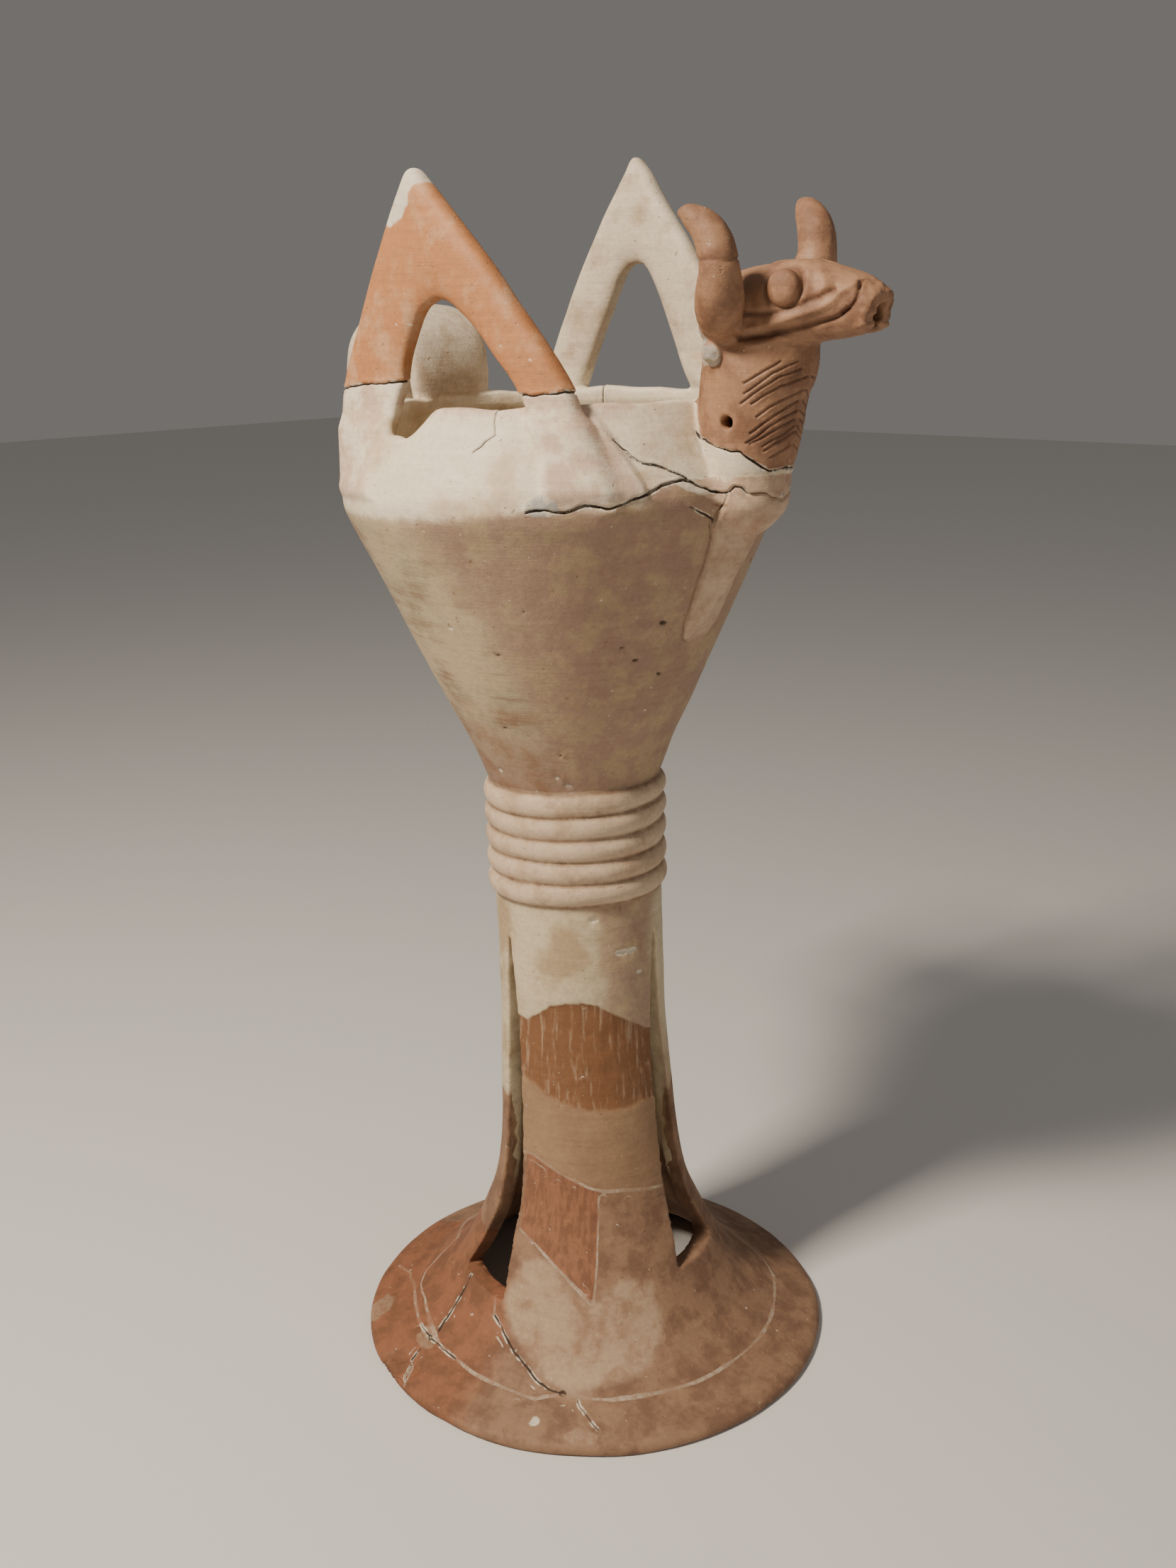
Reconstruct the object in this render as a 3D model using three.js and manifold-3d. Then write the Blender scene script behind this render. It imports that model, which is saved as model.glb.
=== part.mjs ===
// A tall fired-clay fruit bowl on a hollow windowed foot, with a bull's head, two pointed handles
// and a strap handle. Millimetres, +Z up. The bull looks along +X.
import * as THREE from "three";
import { mergeVertices } from "three/addons/utils/BufferGeometryUtils.js";
import Module from "manifold-3d";

// Foot: a thin disc that rises to a raised line and then flares up into the stem
const FOOT_RADIUS = 125;
const FOOT_EDGE_HEIGHT = 5;
const FOOT_LINE_RADIUS = 101;
const FOOT_LINE_HEIGHT = 14;
const FOOT_WALL = 9;
const RESTING_RING_WIDTH = 11;

// Stem: a hollow tube with five raised ring ribs at its top
const FLARE_HEIGHT = 170;
const STEM_RADIUS = 43;
const STEM_WALL = 9;
const RIBS_BOTTOM = 253;
const RIB_COUNT = 5;
const RIB_PITCH = 11.6;
const RIB_DEPTH = 3.4;
const STEM_FLOOR = 14;

// Bowl: a cone up to a soft turn, then a shoulder sloping in to the mouth
const BOWL_HEIGHT = 142;
const BOWL_RADIUS = 106.5;
const SHOULDER_HEIGHT = 45;
const MOUTH_RADIUS = 88;
const BOWL_WALL = 9;

// Windows: tall narrow triangles cut through the stem and the flare
const WINDOW_TURN = 10;
const WINDOW_BOTTOMS = [53, 46, 40];
const WINDOW_TOP = 232;
const WINDOW_WIDTH = 40;

// Pointed handles: nearly flat slabs whose legs run down the shoulder and end in the turn.
// Their rises are measured from the turn. The stand is the slab's distance from the axis, and
// the bend is the radius of its slight curve.
const NEAR_HANDLE_TURN = -89;
const NEAR_HANDLE_RISE = 144.5;
const NEAR_HANDLE_OPENING_RISE = 89.6;
const FAR_HANDLE_TURN = 91;
const FAR_HANDLE_RISE = 158.5;
const FAR_HANDLE_OPENING_RISE = 107.2;
const HANDLE_SPAN = 160;
const HANDLE_STAND = 78;
const HANDLE_BEND = 300;
const HANDLE_THICKNESS = 13;

// Strap handle: a broad band from the mouth up, over and down to the turn
const STRAP_TURN = 172;
const STRAP_WIDTH = 50;
const STRAP_THICKNESS = 11;
const STRAP_RISE = 47;
const STRAP_REACH = 34;

// Bull: neck, head, horns and the tapering breast under the neck. Its rises are measured from the
// turn, and the neck's reach from the bowl's side.
const NECK_REACH = 7;
const NECK_WIDTH = 53;
const NECK_WALL = 8;
const HEAD_RISE = 80;
const HEAD_LENGTH = 76;
const HEAD_WIDTH = 44;
const HEAD_DEPTH = 37;
const MUZZLE_HOLE_RADIUS = 5.2;
const VENT_RADIUS = 3;
const VENT_RISE = 34;
const EYE_RADIUS = 7.6;
const EAR_RADIUS = 5.5;
const HORN_SPREAD = 85;
const HORN_RADIUS = 8.6;
const HORN_RISE = 40;
const BREAST_LENGTH = 58;

// The whole vessel above the foot leans a little, away from the bull
const LEAN = 2;

const ROUND_STEPS = 40;
const DEGREE = Math.PI / 180;
const RIBS_TOP = RIBS_BOTTOM + RIB_COUNT * RIB_PITCH;
const TURN_HEIGHT = RIBS_TOP + BOWL_HEIGHT;
const MOUTH_HEIGHT = TURN_HEIGHT + SHOULDER_HEIGHT;

const wasm = await Module();
wasm.setup();

/** Turns a closed three.js geometry into a solid that can be joined and cut. */
function solid(geometry) {
  const bare = geometry.clone();
  for (const name of Object.keys(bare.attributes)) {
    if (name !== "position") bare.deleteAttribute(name);
  }
  const merged = mergeVertices(bare, 1e-3);
  const made = new wasm.Manifold(
    new wasm.Mesh({
      numProp: 3,
      vertProperties: merged.attributes.position.array,
      triVerts: new Uint32Array(merged.index.array),
    }),
  );
  return made;
}

/** Moves every vertex of a geometry by a function of its position. */
function warp(geometry, move) {
  const position = geometry.attributes.position;
  const point = new THREE.Vector3();
  for (let i = 0; i < position.count; i += 1) {
    point.fromBufferAttribute(position, i);
    move(point);
    position.setXYZ(i, point.x, point.y, point.z);
  }
  return geometry;
}

/** Revolves a profile of [radius, height] points, from the axis outwards and back to it. */
function revolve(points) {
  const profile = points.map(([radius, height]) => new THREE.Vector2(radius, height));
  return new THREE.LatheGeometry(profile, ROUND_STEPS).rotateX(Math.PI / 2);
}

/** A value along a list of [position, value] stops, with straight lines between them. */
function along(stops, position) {
  let before = stops[0];
  for (const stop of stops) {
    if (position <= stop[0]) {
      const span = stop[0] - before[0];
      return span === 0 ? stop[1] : before[1] + ((stop[1] - before[1]) * (position - before[0])) / span;
    }
    before = stop;
  }
  return before[1];
}

/** Points of a smooth curve through [radius, height] pairs. */
function smooth(pairs, steps) {
  const curve = new THREE.SplineCurve(pairs.map(([radius, height]) => new THREE.Vector2(radius, height)));
  return curve.getPoints(steps).map((point) => [point.x, point.y]);
}

/** A tube with an oval section along stations of [x, y, z, half depth, half width]. */
function tube(stations, options) {
  const { around = 20, rows = 12, side = new THREE.Vector3(0, 1, 0), square = 2 } = options;
  const places = stations.map((station) => new THREE.Vector3(station[0], station[1], station[2]));
  const path = new THREE.CatmullRomCurve3(places, false, "centripetal");
  const depths = new THREE.SplineCurve(stations.map((s) => new THREE.Vector2(s[3], s[4])));
  const geometry = new THREE.CylinderGeometry(1, 1, 1, around, rows);
  const depthAxis = new THREE.Vector3();
  const widthAxis = new THREE.Vector3();
  return warp(geometry, (point) => {
    const share = Math.min(Math.max(point.y + 0.5, 0), 1);
    const centre = path.getPoint(share);
    const forward = path.getTangent(share);
    const half = depths.getPoint(share);
    depthAxis.crossVectors(side, forward).normalize();
    widthAxis.crossVectors(forward, depthAxis);
    const reach = Math.hypot(point.x, point.z);
    const angle = Math.atan2(point.x, point.z);
    const power = 2 / square;
    const across = reach * Math.sign(Math.sin(angle)) * Math.abs(Math.sin(angle)) ** power;
    const up = reach * Math.sign(Math.cos(angle)) * Math.abs(Math.cos(angle)) ** power;
    point.copy(centre).addScaledVector(widthAxis, across * half.y).addScaledVector(depthAxis, up * half.x);
  });
}

// Outer profile of the foot and the stem, then the ribs, the bowl and the shoulder
const flare = smooth(
  [
    [FOOT_LINE_RADIUS, FOOT_LINE_HEIGHT],
    [STEM_RADIUS + 0.6 * (FOOT_LINE_RADIUS - STEM_RADIUS), FOOT_LINE_HEIGHT + 0.11 * FLARE_HEIGHT],
    [STEM_RADIUS + 0.29 * (FOOT_LINE_RADIUS - STEM_RADIUS), FOOT_LINE_HEIGHT + 0.3 * FLARE_HEIGHT],
    [STEM_RADIUS + 0.1 * (FOOT_LINE_RADIUS - STEM_RADIUS), FOOT_LINE_HEIGHT + 0.52 * FLARE_HEIGHT],
    [STEM_RADIUS, FOOT_LINE_HEIGHT + FLARE_HEIGHT],
  ],
  9,
);
const ribs = [];
for (let i = 0; i < RIB_COUNT; i += 1) {
  const bottom = RIBS_BOTTOM + i * RIB_PITCH;
  ribs.push([STEM_RADIUS + 0.2, bottom]);
  ribs.push([STEM_RADIUS + RIB_DEPTH, bottom + 0.32 * RIB_PITCH]);
  ribs.push([STEM_RADIUS + RIB_DEPTH, bottom + 0.68 * RIB_PITCH]);
}
ribs.push([STEM_RADIUS + 0.2, RIBS_TOP]);
const bowlGrowth = BOWL_RADIUS - STEM_RADIUS;
const cone = [
  [STEM_RADIUS + 0.03 * bowlGrowth, RIBS_TOP + 0.03 * BOWL_HEIGHT],
  [STEM_RADIUS + 0.13 * bowlGrowth, RIBS_TOP + 0.14 * BOWL_HEIGHT],
  [STEM_RADIUS + 0.28 * bowlGrowth, RIBS_TOP + 0.28 * BOWL_HEIGHT],
  [STEM_RADIUS + 0.5 * bowlGrowth, RIBS_TOP + 0.49 * BOWL_HEIGHT],
  [STEM_RADIUS + 0.77 * bowlGrowth, RIBS_TOP + 0.76 * BOWL_HEIGHT],
  [STEM_RADIUS + 0.965 * bowlGrowth, RIBS_TOP + 0.95 * BOWL_HEIGHT],
  [BOWL_RADIUS, TURN_HEIGHT],
];
const shoulder = [
  [BOWL_RADIUS - 0.04 * (BOWL_RADIUS - MOUTH_RADIUS), TURN_HEIGHT + 0.14 * SHOULDER_HEIGHT],
  [BOWL_RADIUS - 0.36 * (BOWL_RADIUS - MOUTH_RADIUS), TURN_HEIGHT + 0.44 * SHOULDER_HEIGHT],
  [MOUTH_RADIUS, MOUTH_HEIGHT - 0.25 * BOWL_WALL],
];

/** Moves a line of [radius, height] points inwards by a wall thickness, square to the line. */
function inset(line, wall) {
  return line.map(([radius, height], i) => {
    const before = line[Math.max(i - 1, 0)];
    const after = line[Math.min(i + 1, line.length - 1)];
    const run = after[0] - before[0];
    const rise = after[1] - before[1];
    const length = Math.hypot(run, rise);
    return [radius - (wall * rise) / length, height + (wall * run) / length];
  });
}

const outside = revolve([
  [0, 0],
  [FOOT_RADIUS - 2, 0],
  [FOOT_RADIUS, 0.4 * FOOT_EDGE_HEIGHT],
  [FOOT_RADIUS, 0.75 * FOOT_EDGE_HEIGHT],
  [FOOT_RADIUS - 3, FOOT_EDGE_HEIGHT + 1],
  ...flare,
  ...ribs,
  ...cone,
  ...shoulder,
  [MOUTH_RADIUS - 0.3 * BOWL_WALL, MOUTH_HEIGHT],
  [0, MOUTH_HEIGHT],
]);

// The hollow of the bowl, open at the mouth
const bowlLine = [...cone.slice(2), ...shoulder];
const bowlInside = inset(bowlLine, BOWL_WALL).filter(([, height]) => height < MOUTH_HEIGHT - 4);
const bowlFloor = RIBS_TOP + STEM_FLOOR;
const bowlHollow = revolve([
  [0, bowlFloor],
  [0.55 * STEM_RADIUS, bowlFloor + 2],
  ...bowlInside,
  [MOUTH_RADIUS - BOWL_WALL, MOUTH_HEIGHT - 2],
  [MOUTH_RADIUS - 0.8 * BOWL_WALL, MOUTH_HEIGHT + 1],
  [0, MOUTH_HEIGHT + 1],
]);

// The hollow of the foot and the stem, open below
const stemInside = inset(flare, FOOT_WALL).filter(([, height]) => height > 3);
const stemHollow = revolve([
  [0, -1],
  [FOOT_RADIUS - 2 - RESTING_RING_WIDTH, -1],
  [FOOT_RADIUS - 3 - RESTING_RING_WIDTH, 2],
  ...stemInside,
  [STEM_RADIUS - STEM_WALL, RIBS_TOP - STEM_WALL - 8],
  [0.6 * (STEM_RADIUS - STEM_WALL), RIBS_TOP - STEM_WALL],
  [0, RIBS_TOP - STEM_WALL],
]);

// One window: a tall triangle, wider below, pushed through the wall
const windowShape = new THREE.Shape();
const windowSides = [
  [0.5, 0],
  [0.36, 0.08],
  [0.26, 0.17],
  [0.21, 0.4],
  [0.15, 0.65],
  [0.09, 0.85],
  [0.02, 1],
];
windowShape.moveTo(-0.5 * WINDOW_WIDTH, 0);
for (const [share, height] of windowSides) {
  windowShape.lineTo(share * WINDOW_WIDTH, height);
}
for (const [share, height] of windowSides.slice(1).reverse()) {
  windowShape.lineTo(-share * WINDOW_WIDTH, height);
}
function windowCut(turn, bottom) {
  const cut = new THREE.ExtrudeGeometry(windowShape, { depth: FOOT_RADIUS, bevelEnabled: false });
  cut.rotateX(Math.PI / 2);
  cut.rotateZ(Math.PI / 2);
  cut.scale(1, 1, WINDOW_TOP - bottom);
  cut.translate(0, 0, bottom);
  return cut.rotateZ(turn * DEGREE);
}

/** The vessel's outer radius at a height between the ribs and the mouth. */
function wallRadius(height) {
  return along([...cone, ...shoulder].map(([radius, level]) => [level, radius]), height);
}

/** How far a handle's middle stands from the axis: a slab above, and round where it meets the shoulder. */
function handleStand(aside, height) {
  const slab = HANDLE_STAND - (aside * aside) / (2 * HANDLE_BEND);
  const sunk = along([[TURN_HEIGHT, 0.54], [MOUTH_HEIGHT, 0.3]], height) * HANDLE_THICKNESS;
  const radius = wallRadius(height) - sunk - 0.6 * Math.max(height - MOUTH_HEIGHT, 0);
  const round = Math.sqrt(Math.max(radius * radius - aside * aside, 0));
  return Math.max(round, slab);
}

// The near handle's outer line: left and right of its middle as shares of half the span, and the
// height as a share of the rise, from the turn up. Then its opening in the same way.
const nearOuter = [
  [-0.975, 1.05, -0.021],
  [-0.963, 0.988, 0.09],
  [-0.944, 0.844, 0.256],
  [-0.906, 0.775, 0.363],
  [-0.8, 0.644, 0.478],
  [-0.675, 0.487, 0.595],
  [-0.525, 0.294, 0.734],
  [-0.4, 0.113, 0.844],
  [-0.294, -0.037, 0.935],
  [-0.182, -0.182, 1],
];
const nearInner = [
  [-0.463, 0.688, -0.033],
  [-0.425, 0.625, 0.268],
  [-0.388, 0.537, 0.469],
  [-0.334, 0.44, 0.614],
  [-0.3, 0.34, 0.725],
  [-0.231, 0.231, 0.848],
  [-0.154, 0.106, 0.949],
  [-0.075, 0.037, 0.987],
  [-0.05, 0, 0.997],
  [-0.026, -0.026, 1],
];
const farOuter = [
  [-1, 1, -0.019],
  [-0.938, 0.925, 0.139],
  [-0.831, 0.819, 0.297],
  [-0.7, 0.713, 0.43],
  [-0.512, 0.575, 0.584],
  [-0.338, 0.438, 0.718],
  [-0.15, 0.281, 0.852],
  [-0.013, 0.144, 0.959],
  [0.081, 0.081, 1],
];
const farInner = [
  [-0.475, 0.713, -0.028],
  [-0.406, 0.644, 0.177],
  [-0.325, 0.556, 0.364],
  [-0.25, 0.469, 0.522],
  [-0.171, 0.362, 0.69],
  [-0.094, 0.263, 0.84],
  [-0.031, 0.194, 0.942],
  [0.019, 0.131, 0.989],
  [0.069, 0.069, 1],
];

/** One pointed handle: a band between an outer and an inner line, drawn flat and then bent. */
function pointedHandle(turn, outerTable, rise, innerTable, openingRise) {
  const line = (table, tall) => {
    const at = (share, height) => new THREE.Vector2(0.5 * share * HANDLE_SPAN, TURN_HEIGHT + height * tall);
    const left = table.map(([share, , height]) => at(share, height));
    const right = table.slice(0, -1).map(([, share, height]) => at(share, height));
    return new THREE.SplineCurve([...left, ...right.reverse()]);
  };
  const outer = line(outerTable, rise);
  const inner = line(innerTable, openingRise);
  return warp(new THREE.CylinderGeometry(1, 1, 1, 12, 22), (point) => {
    const share = Math.min(Math.max(point.y + 0.5, 0), 1);
    const out = outer.getPoint(share);
    const back = inner.getPoint(share);
    const reach = Math.hypot(point.x, point.z);
    const angle = Math.atan2(point.x, point.z);
    const across = reach * Math.sign(Math.cos(angle)) * Math.abs(Math.cos(angle)) ** 0.6;
    const thick = reach * Math.sign(Math.sin(angle)) * Math.abs(Math.sin(angle)) ** 0.7;
    const aside = 0.5 * (out.x + back.x) + 0.5 * across * (out.x - back.x);
    const height = 0.5 * (out.y + back.y) + 0.5 * across * (out.y - back.y);
    const stand = handleStand(aside, height) + 0.5 * thick * HANDLE_THICKNESS;
    point.set(stand, aside, height);
  }).rotateZ(turn * DEGREE);
}

// The strap handle stands in a plane through the axis
const strapInner = MOUTH_RADIUS - 0.5 * STRAP_THICKNESS;
const strapOuter = BOWL_RADIUS + STRAP_REACH - 0.5 * STRAP_THICKNESS;
const strapReach = strapOuter - strapInner;
const strapTop = MOUTH_HEIGHT + STRAP_RISE - 0.5 * STRAP_THICKNESS;
const strapStations = [
  [strapInner + 0.06 * strapReach, MOUTH_HEIGHT - 0.3 * SHOULDER_HEIGHT],
  [strapInner, MOUTH_HEIGHT + 0.3 * STRAP_RISE],
  [strapInner + 0.1 * strapReach, MOUTH_HEIGHT + 0.66 * STRAP_RISE],
  [strapInner + 0.46 * strapReach, strapTop],
  [strapInner + 0.92 * strapReach, MOUTH_HEIGHT + 0.6 * STRAP_RISE],
  [strapOuter, MOUTH_HEIGHT + 0.1 * STRAP_RISE],
  [strapInner + 0.83 * strapReach, TURN_HEIGHT + 0.6 * SHOULDER_HEIGHT],
  [BOWL_RADIUS - 0.36 * STRAP_THICKNESS, TURN_HEIGHT + 0.02 * SHOULDER_HEIGHT],
].map(([radius, height], i) => {
  const narrowing = i === 0 ? 0.14 * STRAP_WIDTH : 0;
  return [radius, -0.5 * narrowing, height, 0.5 * STRAP_THICKNESS, 0.5 * (STRAP_WIDTH - narrowing)];
});
const strap = tube(strapStations, { around: 12, rows: 16, square: 3.4 }).rotateZ(STRAP_TURN * DEGREE);

// Neck, breast and head in the plane of the bull
const neckHalf = 0.5 * NECK_WIDTH;
const neckMiddle = BOWL_RADIUS + NECK_REACH;
const headMiddle = TURN_HEIGHT + HEAD_RISE;
const headBack = neckMiddle - 0.24 * HEAD_LENGTH;
const headFloor = headMiddle - 0.5 * HEAD_DEPTH;
const neckRise = headFloor - TURN_HEIGHT;
const neckStations = [
  [-0.26, 0.03, 0.66, 0.78],
  [-0.19, 0.21, 0.8, 0.84],
  [-0.12, 0.5, 0.88, 0.88],
  [-0.06, 0.78, 0.91, 0.92],
  [0, 0.97, 0.97, 0.94],
  [0.08, 1.3, 0.86, 0.8],
].map(([out, up, deep, wide]) => [
  neckMiddle + out * NECK_WIDTH,
  0,
  TURN_HEIGHT + up * neckRise,
  deep * neckHalf,
  wide * neckHalf,
]);
const neck = tube(neckStations, { around: 18, rows: 8 });
const neckHollow = tube(
  [
    [-0.17, 0.33, 0.8, 0.84],
    [-0.12, 0.5, 0.88, 0.88],
    [-0.06, 0.78, 0.9, 0.9],
    [0.02, 1.03, 0.92, 0.86],
    [0.08, 1.3, 0.8, 0.72],
  ].map(([out, up, deep, wide]) => [
    neckMiddle + out * NECK_WIDTH,
    0,
    TURN_HEIGHT + up * neckRise,
    deep * neckHalf - NECK_WALL,
    wide * neckHalf - NECK_WALL,
  ]),
  { around: 12, rows: 5 },
);
const headStations = [
  [0, 0, 0.22, 0.2],
  [0.05, 0.4, 0.76, 0.68],
  [0.16, 0.02, 0.9, 0.93],
  [0.36, 0.36, 0.93, 1],
  [0.56, 0.62, 0.89, 0.92],
  [0.74, 0.5, 0.78, 0.74],
  [0.9, 0, 0.63, 0.6],
  [1, -0.9, 0.48, 0.5],
].map(([share, lift, deep, wide]) => [
  headBack + share * HEAD_LENGTH,
  0,
  headMiddle + lift * 0.1 * HEAD_DEPTH,
  0.5 * deep * HEAD_DEPTH,
  0.5 * wide * HEAD_WIDTH,
]);
const head = tube(headStations, { around: 16, rows: 11, square: 2.4 });
const headHollow = tube(
  [
    [0.19, -0.11, 0.2 * HEAD_DEPTH, 0.2 * HEAD_WIDTH],
    [0.54, -0.08, 0.24 * HEAD_DEPTH, 0.26 * HEAD_WIDTH],
    [0.8, -0.11, 0.9 * MUZZLE_HOLE_RADIUS, 1.1 * MUZZLE_HOLE_RADIUS],
    [1.05, -0.1, MUZZLE_HOLE_RADIUS, MUZZLE_HOLE_RADIUS],
  ].map(([share, lift, deep, wide]) => [
    headBack + share * HEAD_LENGTH,
    0,
    headMiddle + lift * HEAD_DEPTH,
    deep,
    wide,
  ]),
  { around: 10, rows: 4 },
);

const breast = tube(
  [
    [0.24, 0, 0, 0.84, 0.84],
    [0, -0.19, 0, 0.72, 0.78],
    [-0.22, -0.16, -0.04, 0.6, 0.66],
    [-0.48, -0.2, -0.11, 0.5, 0.54],
    [-0.7, -0.19, -0.19, 0.38, 0.44],
    [-0.87, -0.12, -0.25, 0.23, 0.27],
    [-1, -0.07, -0.28, 0.08, 0.08],
  ].map(([up, out, aside, deep, wide]) => {
    const height = TURN_HEIGHT + up * BREAST_LENGTH;
    return [wallRadius(height) + out * neckHalf, aside * neckHalf, height, deep * neckHalf, wide * neckHalf];
  }),
  { around: 14, rows: 8 },
);
function horn(side, tipRise) {
  const stations = [
    [-0.21, 0.33, -0.15, 1.2],
    [-0.04, 0.68, 0.01, 1.3],
    [0.06, 0.84, 0.2, 1.2],
    [0.09, 0.895, 0.45, 1.04],
    [0.09, 0.92, 0.7, 0.92],
    [0.025, 0.965, 0.88, 0.82],
    [-0.09, 1.05, 0.975 * tipRise, 0.68],
    [-0.175, 1.1, 1.01 * tipRise, 0.5],
  ].map(([out, aside, up, thick]) => [
    neckMiddle + out * HORN_RISE,
    0.5 * side * aside * HORN_SPREAD,
    headMiddle + up * HORN_RISE,
    thick * HORN_RADIUS,
    thick * HORN_RADIUS,
  ]);
  return tube(stations, { around: 10, rows: 10, side: new THREE.Vector3(0, 1, -0.35 * side) });
}
function eye(side) {
  const dome = new THREE.SphereGeometry(EYE_RADIUS, 10, 6);
  dome.scale(1, 0.68, 1);
  const aside = side * 0.44 * HEAD_WIDTH;
  return dome.translate(headBack + 0.56 * HEAD_LENGTH, aside, headMiddle + 0.22 * HEAD_DEPTH);
}
const earAside = 0.5 * HEAD_WIDTH + 0.2 * EAR_RADIUS;
const ear = new THREE.SphereGeometry(EAR_RADIUS, 8, 5).scale(1, 1.1, 1.1);
ear.translate(neckMiddle - 0.15 * NECK_WIDTH, -earAside, headFloor + 0.5 * EAR_RADIUS);
const vent = new THREE.CylinderGeometry(VENT_RADIUS, VENT_RADIUS, NECK_WIDTH, 10);
vent.translate(neckMiddle - 0.06 * NECK_WIDTH, -0.5 * NECK_WIDTH, TURN_HEIGHT + VENT_RISE);

const nearSizes = [nearOuter, NEAR_HANDLE_RISE, nearInner, NEAR_HANDLE_OPENING_RISE];
const nearHandle = pointedHandle(NEAR_HANDLE_TURN, ...nearSizes);
const farSizes = [farOuter, FAR_HANDLE_RISE, farInner, FAR_HANDLE_OPENING_RISE];
const farHandle = pointedHandle(FAR_HANDLE_TURN, ...farSizes);

// Everything joined, then the hollows and windows cut
const joined = [
  nearHandle,
  farHandle,
  strap,
  neck,
  breast,
  head,
  horn(1, 1.09),
  horn(-1, 0.98),
  eye(1),
  eye(-1),
  ear,
].reduce((whole, piece) => whole.add(solid(piece)), solid(outside));
const cuts = [bowlHollow, stemHollow, neckHollow, headHollow, vent];
WINDOW_BOTTOMS.forEach((bottom, i) => {
  cuts.push(windowCut(WINDOW_TURN + (i * 360) / WINDOW_BOTTOMS.length, bottom));
});
const vessel = cuts.reduce((whole, cut) => whole.subtract(solid(cut)), joined);

/** The geometry of a solid. */
function geometryOf(made) {
  const mesh = made.getMesh();
  const geometry = new THREE.BufferGeometry();
  geometry.setAttribute("position", new THREE.BufferAttribute(new Float32Array(mesh.vertProperties), 3));
  geometry.setIndex(new THREE.BufferAttribute(new Uint32Array(mesh.triVerts), 1));
  return geometry;
}

const shape = warp(geometryOf(vessel), (point) => {
  const share = Math.min(Math.max((point.z - FOOT_EDGE_HEIGHT) / FLARE_HEIGHT, 0), 1);
  const angle = LEAN * DEGREE * share;
  const { x, z } = point;
  point.x = x * Math.cos(angle) - z * Math.sin(angle);
  point.z = z * Math.cos(angle) + x * Math.sin(angle);
});
shape.computeVertexNormals();
shape.computeBoundingBox();
const centre = shape.boundingBox.getCenter(new THREE.Vector3());
shape.translate(-centre.x, -centre.y, 0);

const clay = new THREE.MeshStandardMaterial({ color: 0xc9ab86, roughness: 0.85, metalness: 0 });
const fruitStand = new THREE.Mesh(shape, clay);
fruitStand.name = "fruit_stand";

const model = new THREE.Group();
model.add(fruitStand);

export default model;
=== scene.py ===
"""A tall footed bowl of fired clay with a bull's head, mended from its sherds.

Lengths inside the functions are in millimetres, and the finished meshes are in metres.
"""

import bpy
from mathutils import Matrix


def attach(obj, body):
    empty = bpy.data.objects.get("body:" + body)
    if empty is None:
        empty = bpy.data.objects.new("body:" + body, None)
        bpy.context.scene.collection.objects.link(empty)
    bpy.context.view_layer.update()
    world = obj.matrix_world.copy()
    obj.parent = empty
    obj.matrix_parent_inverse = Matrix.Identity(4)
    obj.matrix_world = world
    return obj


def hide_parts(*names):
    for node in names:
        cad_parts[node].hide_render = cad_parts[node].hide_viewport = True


bl_info = {
    "name": "Footed fruit bowl",
    "version": (1, 0, 0),
    "blender": (4, 5, 0),
    "location": "View3D > Sidebar > Fruit bowl",
    "description": "Models a footed bowl of fired clay with a bull's head and three handles",
    "category": "Object",
}

import math

import bpy
import numpy as np
from bpy.props import FloatProperty, FloatVectorProperty, PointerProperty
from mathutils import Matrix, Vector

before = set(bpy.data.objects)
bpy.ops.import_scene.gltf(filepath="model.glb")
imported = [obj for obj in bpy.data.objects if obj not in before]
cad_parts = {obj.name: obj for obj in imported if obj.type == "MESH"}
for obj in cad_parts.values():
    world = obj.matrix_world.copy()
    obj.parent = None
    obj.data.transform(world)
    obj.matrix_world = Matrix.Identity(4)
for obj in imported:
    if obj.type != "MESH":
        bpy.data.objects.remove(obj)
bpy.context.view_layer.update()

MM = 0.001
PIECE = "footed_bowl"
TRIANGLES = 194000  # what the finished mesh is thinned to
AWAY = -9.0  # a finish's value where it can't lie

# Shares that shape the turned profile, as in the solid
FLARE_SHARES = [(1, 0), (0.6, 0.11), (0.29, 0.3), (0.1, 0.52), (0, 1)]
CONE_SHARES = [(0.03, 0.03), (0.13, 0.14), (0.28, 0.28), (0.5, 0.49), (0.77, 0.76), (0.965, 0.95), (1, 1)]
WINDOW_SHARES = [(0.5, 0), (0.36, 0.08), (0.26, 0.17), (0.21, 0.4), (0.15, 0.65), (0.09, 0.85), (0.02, 1)]

# Pointed handles: left and right of the middle, and the height above the turn
NEAR_OUTER = [
    (-78, 84, -3), (-77, 79, 13), (-75.5, 67.5, 37), (-72.5, 62, 52.5), (-64, 51.5, 69),
    (-54, 39, 86), (-42, 23.5, 106), (-23.5, -3, 135.1), (-14.6, -14.6, 144.5),
]
NEAR_INNER = [
    (-37, 55, -3), (-34, 50, 24), (-31, 43, 42), (-26.7, 35.2, 55), (-24, 27.2, 65),
    (-18.5, 18.5, 76), (-12.3, 8.5, 85), (-6, 3, 88.4), (-2.1, -2.1, 89.6),
]
FAR_OUTER = [
    (-80, 80, -3), (-75, 74, 22), (-66.5, 65.5, 47), (-56, 57, 68.2), (-41, 46, 92.6),
    (-27, 35, 113.8), (-12, 22.5, 135), (-1, 11.5, 152), (6.5, 6.5, 158.5),
]
FAR_INNER = [
    (-38, 57, -3), (-32.5, 51.5, 19), (-26, 44.5, 39), (-20, 37.5, 56), (-13.7, 29, 74),
    (-7.5, 21, 90), (-2.5, 15.5, 101), (1.5, 10.5, 106), (5.5, 5.5, 107.2),
]

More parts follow.
